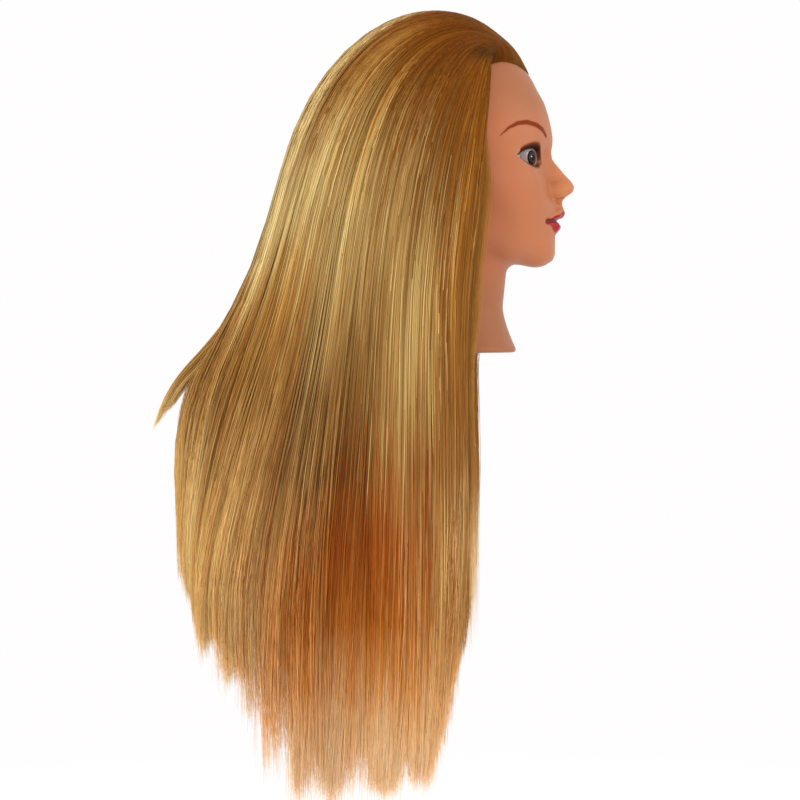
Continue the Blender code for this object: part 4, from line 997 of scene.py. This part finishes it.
def base_piece(name, s0, s1, side, z0, z1, depths, bodies, mat, nodes, cap=False):
    """The solid body of the hair under the loose strands."""
    ns = 60
    if cap:
        s = np.linspace(0, 1, ns)
        tt = np.linspace(0.03, 1, 46)
        sg, tg = np.meshgrid(s, tt, indexing="ij")
        d = cap_path(sg, tg, ENV)
        re, rs = polar(ENV, d), polar(SKULL, d)
        room = np.maximum(re - rs, 0.2)
        T = np.minimum(room, deep(sg, np.full(sg.shape, 112.0)))
        o = C0 + d * (re - np.maximum(T * depths[0], 0.9) * smooth01((tg + 0.02) / 0.10) - (1 - smooth01(tg / 0.10)) * (room - 0.8))[..., None]
        i = C0 + d * (rs + np.minimum(0.3, room * 0.4))[..., None]
        o, i = o * [side, 1, 1], i * [side, 1, 1]
        fl = np.stack([sg * 300.0, tg * 9.0, 0 * sg], -1)
    else:
        s = np.linspace(s0, s1, ns)
        zl = np.full(ns, -200.0)
        low = table1(ENDS, sec_at(SEC_P, fan(np.abs(s), zl), zl)[:, 1])
        low = np.maximum(low + 105.0, z1)
        zg = z0 + (low[:, None] - z0) * np.linspace(0, 1, 56)[None]
        sg = np.repeat(s[:, None], 56, 1)
        sf = fan(np.abs(sg), zg)
        xy, nv = sec_at(SEC_P, sf, zg), sec_at(SEC_N_, sf, zg)
        T = deep(np.abs(sg), zg)
        thin = smooth01((zg - low[:, None]) / 120.0)
        a = T * depths[0] + (1 - thin) * 3.0
        b = T * (depths[1] * thin + (depths[0] + 0.1) * (1 - thin))
        o = np.concatenate([xy - nv * a[..., None], zg[..., None]], -1)
        i = np.concatenate([xy - nv * np.maximum(b, a + 1.0)[..., None], zg[..., None]], -1)
        sign = np.where(sg < 0, -1.0, 1.0) * side
        o[..., 0] *= sign
        i[..., 0] *= sign
        fl = np.stack([sg * 300.0, zg * 0.03, 0 * sg], -1)
    a, b = o.shape[:2]
    V = np.concatenate([o.reshape(-1, 3), i.reshape(-1, 3)])
    q = lambda u, v: u * b + v
    F = []
    N = a * b
    A, B = np.meshgrid(np.arange(a - 1), np.arange(b - 1), indexing="ij")
    A, B = A.ravel(), B.ravel()
    F.append(np.stack([q(A, B), q(A + 1, B), q(A + 1, B + 1), q(A, B + 1)], 1))
    F.append(np.stack([q(A, B), q(A, B + 1), q(A + 1, B + 1), q(A + 1, B)], 1) + N)
    for e, g in ((np.arange(a - 1), 0), (np.arange(a - 1), b - 1)):
        f = np.stack([q(e, g), q(e + 1, g), q(e + 1, g) + N, q(e, g) + N], 1)
        F.append(f if g else f[:, ::-1])
    for e, g in ((np.arange(b - 1), 0), (np.arange(b - 1), a - 1)):
        f = np.stack([q(g, e), q(g, e + 1), q(g, e + 1) + N, q(g, e) + N], 1)
        F.append(f[:, ::-1] if g else f)
    me = mesh_from(name, V, np.concatenate(F))
    Vr = V.reshape(-1, 3)
    col = hair_colour(Vr[:, None], np.full((len(Vr), 1), -0.7))[:, 0]
    attr(me, "tint", col, "FLOAT_COLOR")
    attr(me, "flow", np.concatenate([fl.reshape(-1, 3)] * 2), "FLOAT_VECTOR")
    ob = put(name, me, mat)
    if len(bodies) == 2:
        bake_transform(ob)
    else:
        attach(ob, bodies[0])
    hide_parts(*nodes)
    return ob


# ----------------------------------------------------------------- build it
head_piece()
eye_pieces()

ENV, SKULL = polar_tables()
SEC_P, SEC_N_, SEC_L = sections()
# the side section ends at y = 95 on the level 0
_y = sec_at(SEC_P, fan(np.linspace(0, 1, 400), np.zeros(400)), np.zeros(400))[:, 1]
S_SPLIT = float(np.linspace(0, 1, 400)[np.argmin(np.abs(_y - 96))])

HB = hair_material("hair_base", 0.5, base=True)
HM = hair_material("hair_strand", 0.48)

base_piece("hair_base_cap_right", 0, 1, -1, 0, 0, (0.30, 1), ["head"], HB, ["hair_front_right", "hair_crown_right"], cap=True)
base_piece("hair_base_cap_left", 0, 1, 1, 0, 0, (0.30, 1), ["head"], HB, ["hair_front_left", "hair_crown_left"], cap=True)
base_piece("hair_base_side_right", S_SPLIT, 0.995, -1, 116, -285, (0.26, 0.80), ["head", "side_right"], HB, ["hair_side_right"])
base_piece("hair_base_side_left", S_SPLIT, 0.995, 1, 116, -285, (0.26, 0.80), ["head", "side_left"], HB, ["hair_side_left"])
base_piece("hair_base_back", -S_SPLIT, S_SPLIT, 1, 116, -215, (0.16, 0.85), ["head", "back"], HB, ["hair_back"])

NL, NW = ((1.0, 1.0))
for tag, side, seed in (("right", -1, 11), ("left", 1, 12)):
    for outer, locks in ((True, 330), (False, 290)):
        P, tone, shift = strands(int(locks * NL), 13, "side", side, seed + 40 * outer, outer)
        width = np.random.default_rng(seed + 50).uniform(0.5, 1.05, len(P)) * NW
        strand_pieces(P, tone, width, f"hair_{'outer' if outer else 'inner'}_side_{tag}", ["head", "side_" + tag], HM, shift)
for outer, locks in ((True, 380), (False, 400)):
    P, tone, shift = strands(int(locks * NL), 13, "back", 1, 21 + outer, outer)
    width = np.random.default_rng(71).uniform(0.55, 1.1, len(P)) * NW
    strand_pieces(P, tone, width, f"hair_{'outer' if outer else 'inner'}_back", ["head", "back"], HM, shift)


def nape():
    rng = np.random.default_rng(31)
    n = int(1400 * NL)
    x = rng.uniform(-50, 50, n)
    k = rng.random(n)
    z0 = rng.uniform(84, 112, n)
    ztip = np.maximum(-332 + np.abs(rng.normal(0, 1, n)) * 30, -345)
    q = np.linspace(0, 1, 12)[None]
    Z = z0[:, None] + (ztip - z0)[:, None] * q ** 1.15
    bow = np.sqrt(1 - (x / 62.0) ** 2)[:, None]
    y0 = 52.0 * bow
    yin = np.interp(Z, (-345, -100, 60, 100), (82, 76, 64, 60))
    yout = np.interp(Z, (-345, -120, 0, 100), (100, 124, 106, 88)) * (0.55 + 0.45 * bow)
    Y = yin + (np.maximum(yout, yin + 4) - yin) * k[:, None]
    Y = y0 + (Y - y0) * smooth01(q / 0.16)
    X = x[:, None] * (1 - 0.06 * q) + rng.normal(0, 1.6, n)[:, None] * q ** 2
    P = np.stack([X + 0 * Z, Y, Z], -1)
    strand_pieces(P, rng.normal(-0.5, 0.8, n), rng.uniform(0.7, 1.2, n) * NW, "hair_nape_strands", ["head"], HM)
    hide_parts("hair_nape")


def flick():
    """A lock that swings out from the back, ending in a fine point."""
    rng = np.random.default_rng(41)
    n = 460
    q = np.linspace(0, 1, 16)[None]
    way = np.array([(165, 84), (178, 54), (191, 31), (204, 14), (217, -1), (230, -14), (242, -30), (251, -48), (258, -70)], float)
    t = np.linspace(0, 1, len(way))
    under = rng.uniform(0, 1, n)[:, None] ** 1.2
    end = 1.0 - np.abs(rng.normal(0, 0.07, n))[:, None] - 0.16 * under
    start = rng.uniform(0, 0.14, n)[:, None]
    tt = start + q * (end - start)
    Y = np.interp(tt, t, way[:, 0]) - under * 15.0 * (1 - 0.45 * q) - 5.0 * (1 - smooth01(q / 0.22))
    Z = np.interp(tt, t, way[:, 1]) - under * 12.0 * (1 - 0.45 * q)
    X = rng.normal(0, 1, n)[:, None] * 15.0 * (1 - 0.80 * q ** 1.2)
    Y = Y - X ** 2 / 160.0
    P = np.stack([X, Y, Z], -1)
    for _ in range(2):
        P[:, 1:-1] = 0.25 * P[:, :-2] + 0.5 * P[:, 1:-1] + 0.25 * P[:, 2:]
    strand_pieces(P, rng.normal(1.15, 0.7, n), rng.uniform(0.45, 0.9, n), "hair_flick_strands", ["head", "back"], HM)
    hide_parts("hair_flick")


def loose(tag, side, seed):
    """A thin veil of hairs in front of the cheek and neck, and a few standing off the outline."""
    rng = np.random.default_rng(seed)
    n = 260
    m = 16
    q = np.linspace(0, 1, m)[None]
    top = rng.uniform(120, 225, n)
    tip = rng.uniform(-260, 40, n)
    Z = top[:, None] + (tip - top)[:, None] * q
    k = np.abs(rng.normal(0, 1, n))[:, None]
    f = table1(EDGE, Z) - 0.5 - k * 4.5 * smooth01((225 - Z) / 90.0) * (1 - 0.60 * smooth01((40 - Z) / 60.0))
    f = f + 1.6 * np.sin(Z / 46.0 + rng.random(n)[:, None] * 6.28) * q
    X = half_width(np.full(Z.shape, -20.0), Z) - 10.0 - rng.uniform(0, 9, n)[:, None]
    skin = 4.0 + np.interp(Z, (90, 120, 225), (60, 58, 66))
    X = np.maximum(X, skin)
    P = np.stack([X * side, f, Z], -1)
    strand_pieces(P, rng.normal(1.5, 0.4, n), rng.uniform(0.22, 0.36, n), f"hair_veil_{tag}", ["head", "side_" + tag], HM)


nape()
flick()
loose("right", -1, 61)
loose("left", 1, 62)

# ---------------------------------------------------------- plain CAD nodes
for name, colour, rough in (("clamp_socket", (22, 22, 23), 0.38), ("neck_base_plate", (176, 116, 86), 0.5),
                            ("foam_core", (226, 222, 205), 0.9), ("scalp_cap", (186, 128, 78), 0.55)):
    n = Nodes(name + "_look", Roughness=rough)
    obj = n.add("ShaderNodeTexCoord").outputs["Object"]
    a = n.noise(obj, 220.0, 3.0, 0.6)
    base = lin(*colour)
    n.link(n.mix(n.step(a, 0.3, 0.75, 0.0, 0.35), base, tuple(c * 0.72 for c in base)), n.b.inputs["Base Color"])
    n.bump(a, 0.25, 0.0006)
    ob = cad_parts[name]
    for sl in ob.material_slots:
        sl.material = n.mat

# ------------------------------------------------------------ stage & camera
def stage():
    n = Nodes("floor", Roughness=0.9)
    n.b.inputs["Base Color"].default_value = (0.96, 0.955, 0.957, 1)
    n.b.inputs["Specular IOR Level"].default_value = 0.0
    # far away the floor runs into the white of the studio
    sep = n.add("ShaderNodeSeparateXYZ")
    n.link(n.add("ShaderNodeTexCoord").outputs["Object"], sep.inputs[0])
    r2 = n.math("ADD", n.math("MULTIPLY", sep.outputs["X"], sep.outputs["X"]), n.math("MULTIPLY", sep.outputs["Y"], sep.outputs["Y"]))
    em = n.add("ShaderNodeEmission")
    em.inputs["Color"].default_value = (1.0, 0.986, 0.993, 1)
    em.inputs["Strength"].default_value = 1.0
    mixs = n.add("ShaderNodeMixShader")
    n.link(n.step(r2, 0.2, 2.2), mixs.inputs[0])
    n.link(n.b.outputs[0], mixs.inputs[1])
    n.link(em.outputs[0], mixs.inputs[2])
    out = [k for k in n.t.nodes if k.type == "OUTPUT_MATERIAL"][0]
    n.link(mixs.outputs[0], out.inputs["Surface"])
    me = bpy.data.meshes.new("stage_floor")
    r, zf = 14.0, -0.56
    me.from_pydata([(-r, -r, zf), (r, -r, zf), (r, r, zf), (-r, r, zf)], [], [(0, 1, 2, 3)])
    me.materials.append(n.mat)
    fl = bpy.data.objects.new("stage_floor", me)
    bpy.context.scene.collection.objects.link(fl)
    w = bpy.data.worlds.new("studio")
    bpy.context.scene.world = w
    w.use_nodes = True
    bg = w.node_tree.nodes["Background"]
    bg.inputs[0].default_value = (1.0, 0.986, 0.993, 1)
    bg.inputs[1].default_value = 1.0

    def area(name, loc, aim, size, power, colour=(1, 1, 1)):
        li = bpy.data.lights.new(name, "AREA")
        li.energy, li.size, li.color = power, size, colour
        o = bpy.data.objects.new(name, li)
        o.location = loc
        o.rotation_mode = "QUATERNION"
        o.rotation_quaternion = (Vector(aim) - Vector(loc)).to_track_quat("-Z", "Y")
        bpy.context.scene.collection.objects.link(o)
    area("key", (-2.1, -0.35, 0.35), (0, 0.08, -0.12), 1.0, 12, (1.0, 0.975, 0.94))
    area("front", (-0.4, -2.0, 0.7), (0, 0, 0.05), 1.0, 6)
    area("rim", (-0.6, 2.1, 0.5), (0, 0.15, -0.1), 1.0, 12)
    area("side", (-1.75, 1.35, 0.1), (0, 0.13, -0.08), 1.2, 9, (1.0, 0.98, 0.95))


def camera():
    cam = bpy.data.cameras.new("cam")
    ob = bpy.data.objects.new("cam", cam)
    bpy.context.scene.collection.objects.link(ob)
    az, dist, up = math.radians(CAM_AZ), 2.4, CAM_UP
    aim = Vector((0.0, 0.0387, -0.042))
    loc = aim + Vector((math.sin(az) * dist, -math.cos(az) * dist, up))
    ob.location = loc
    ob.rotation_mode = "QUATERNION"
    ob.rotation_quaternion = (aim - loc).to_track_quat("-Z", "Y")
    cam.sensor_width = 36
    cam.lens = 36 * (aim - loc).length / 0.704
    cam.clip_start, cam.clip_end = 0.05, 100
    bpy.context.scene.camera = ob


CAM_AZ, CAM_UP = -87.0, 0.07
stage()
camera()
bpy.context.scene.view_settings.view_transform = "Standard"
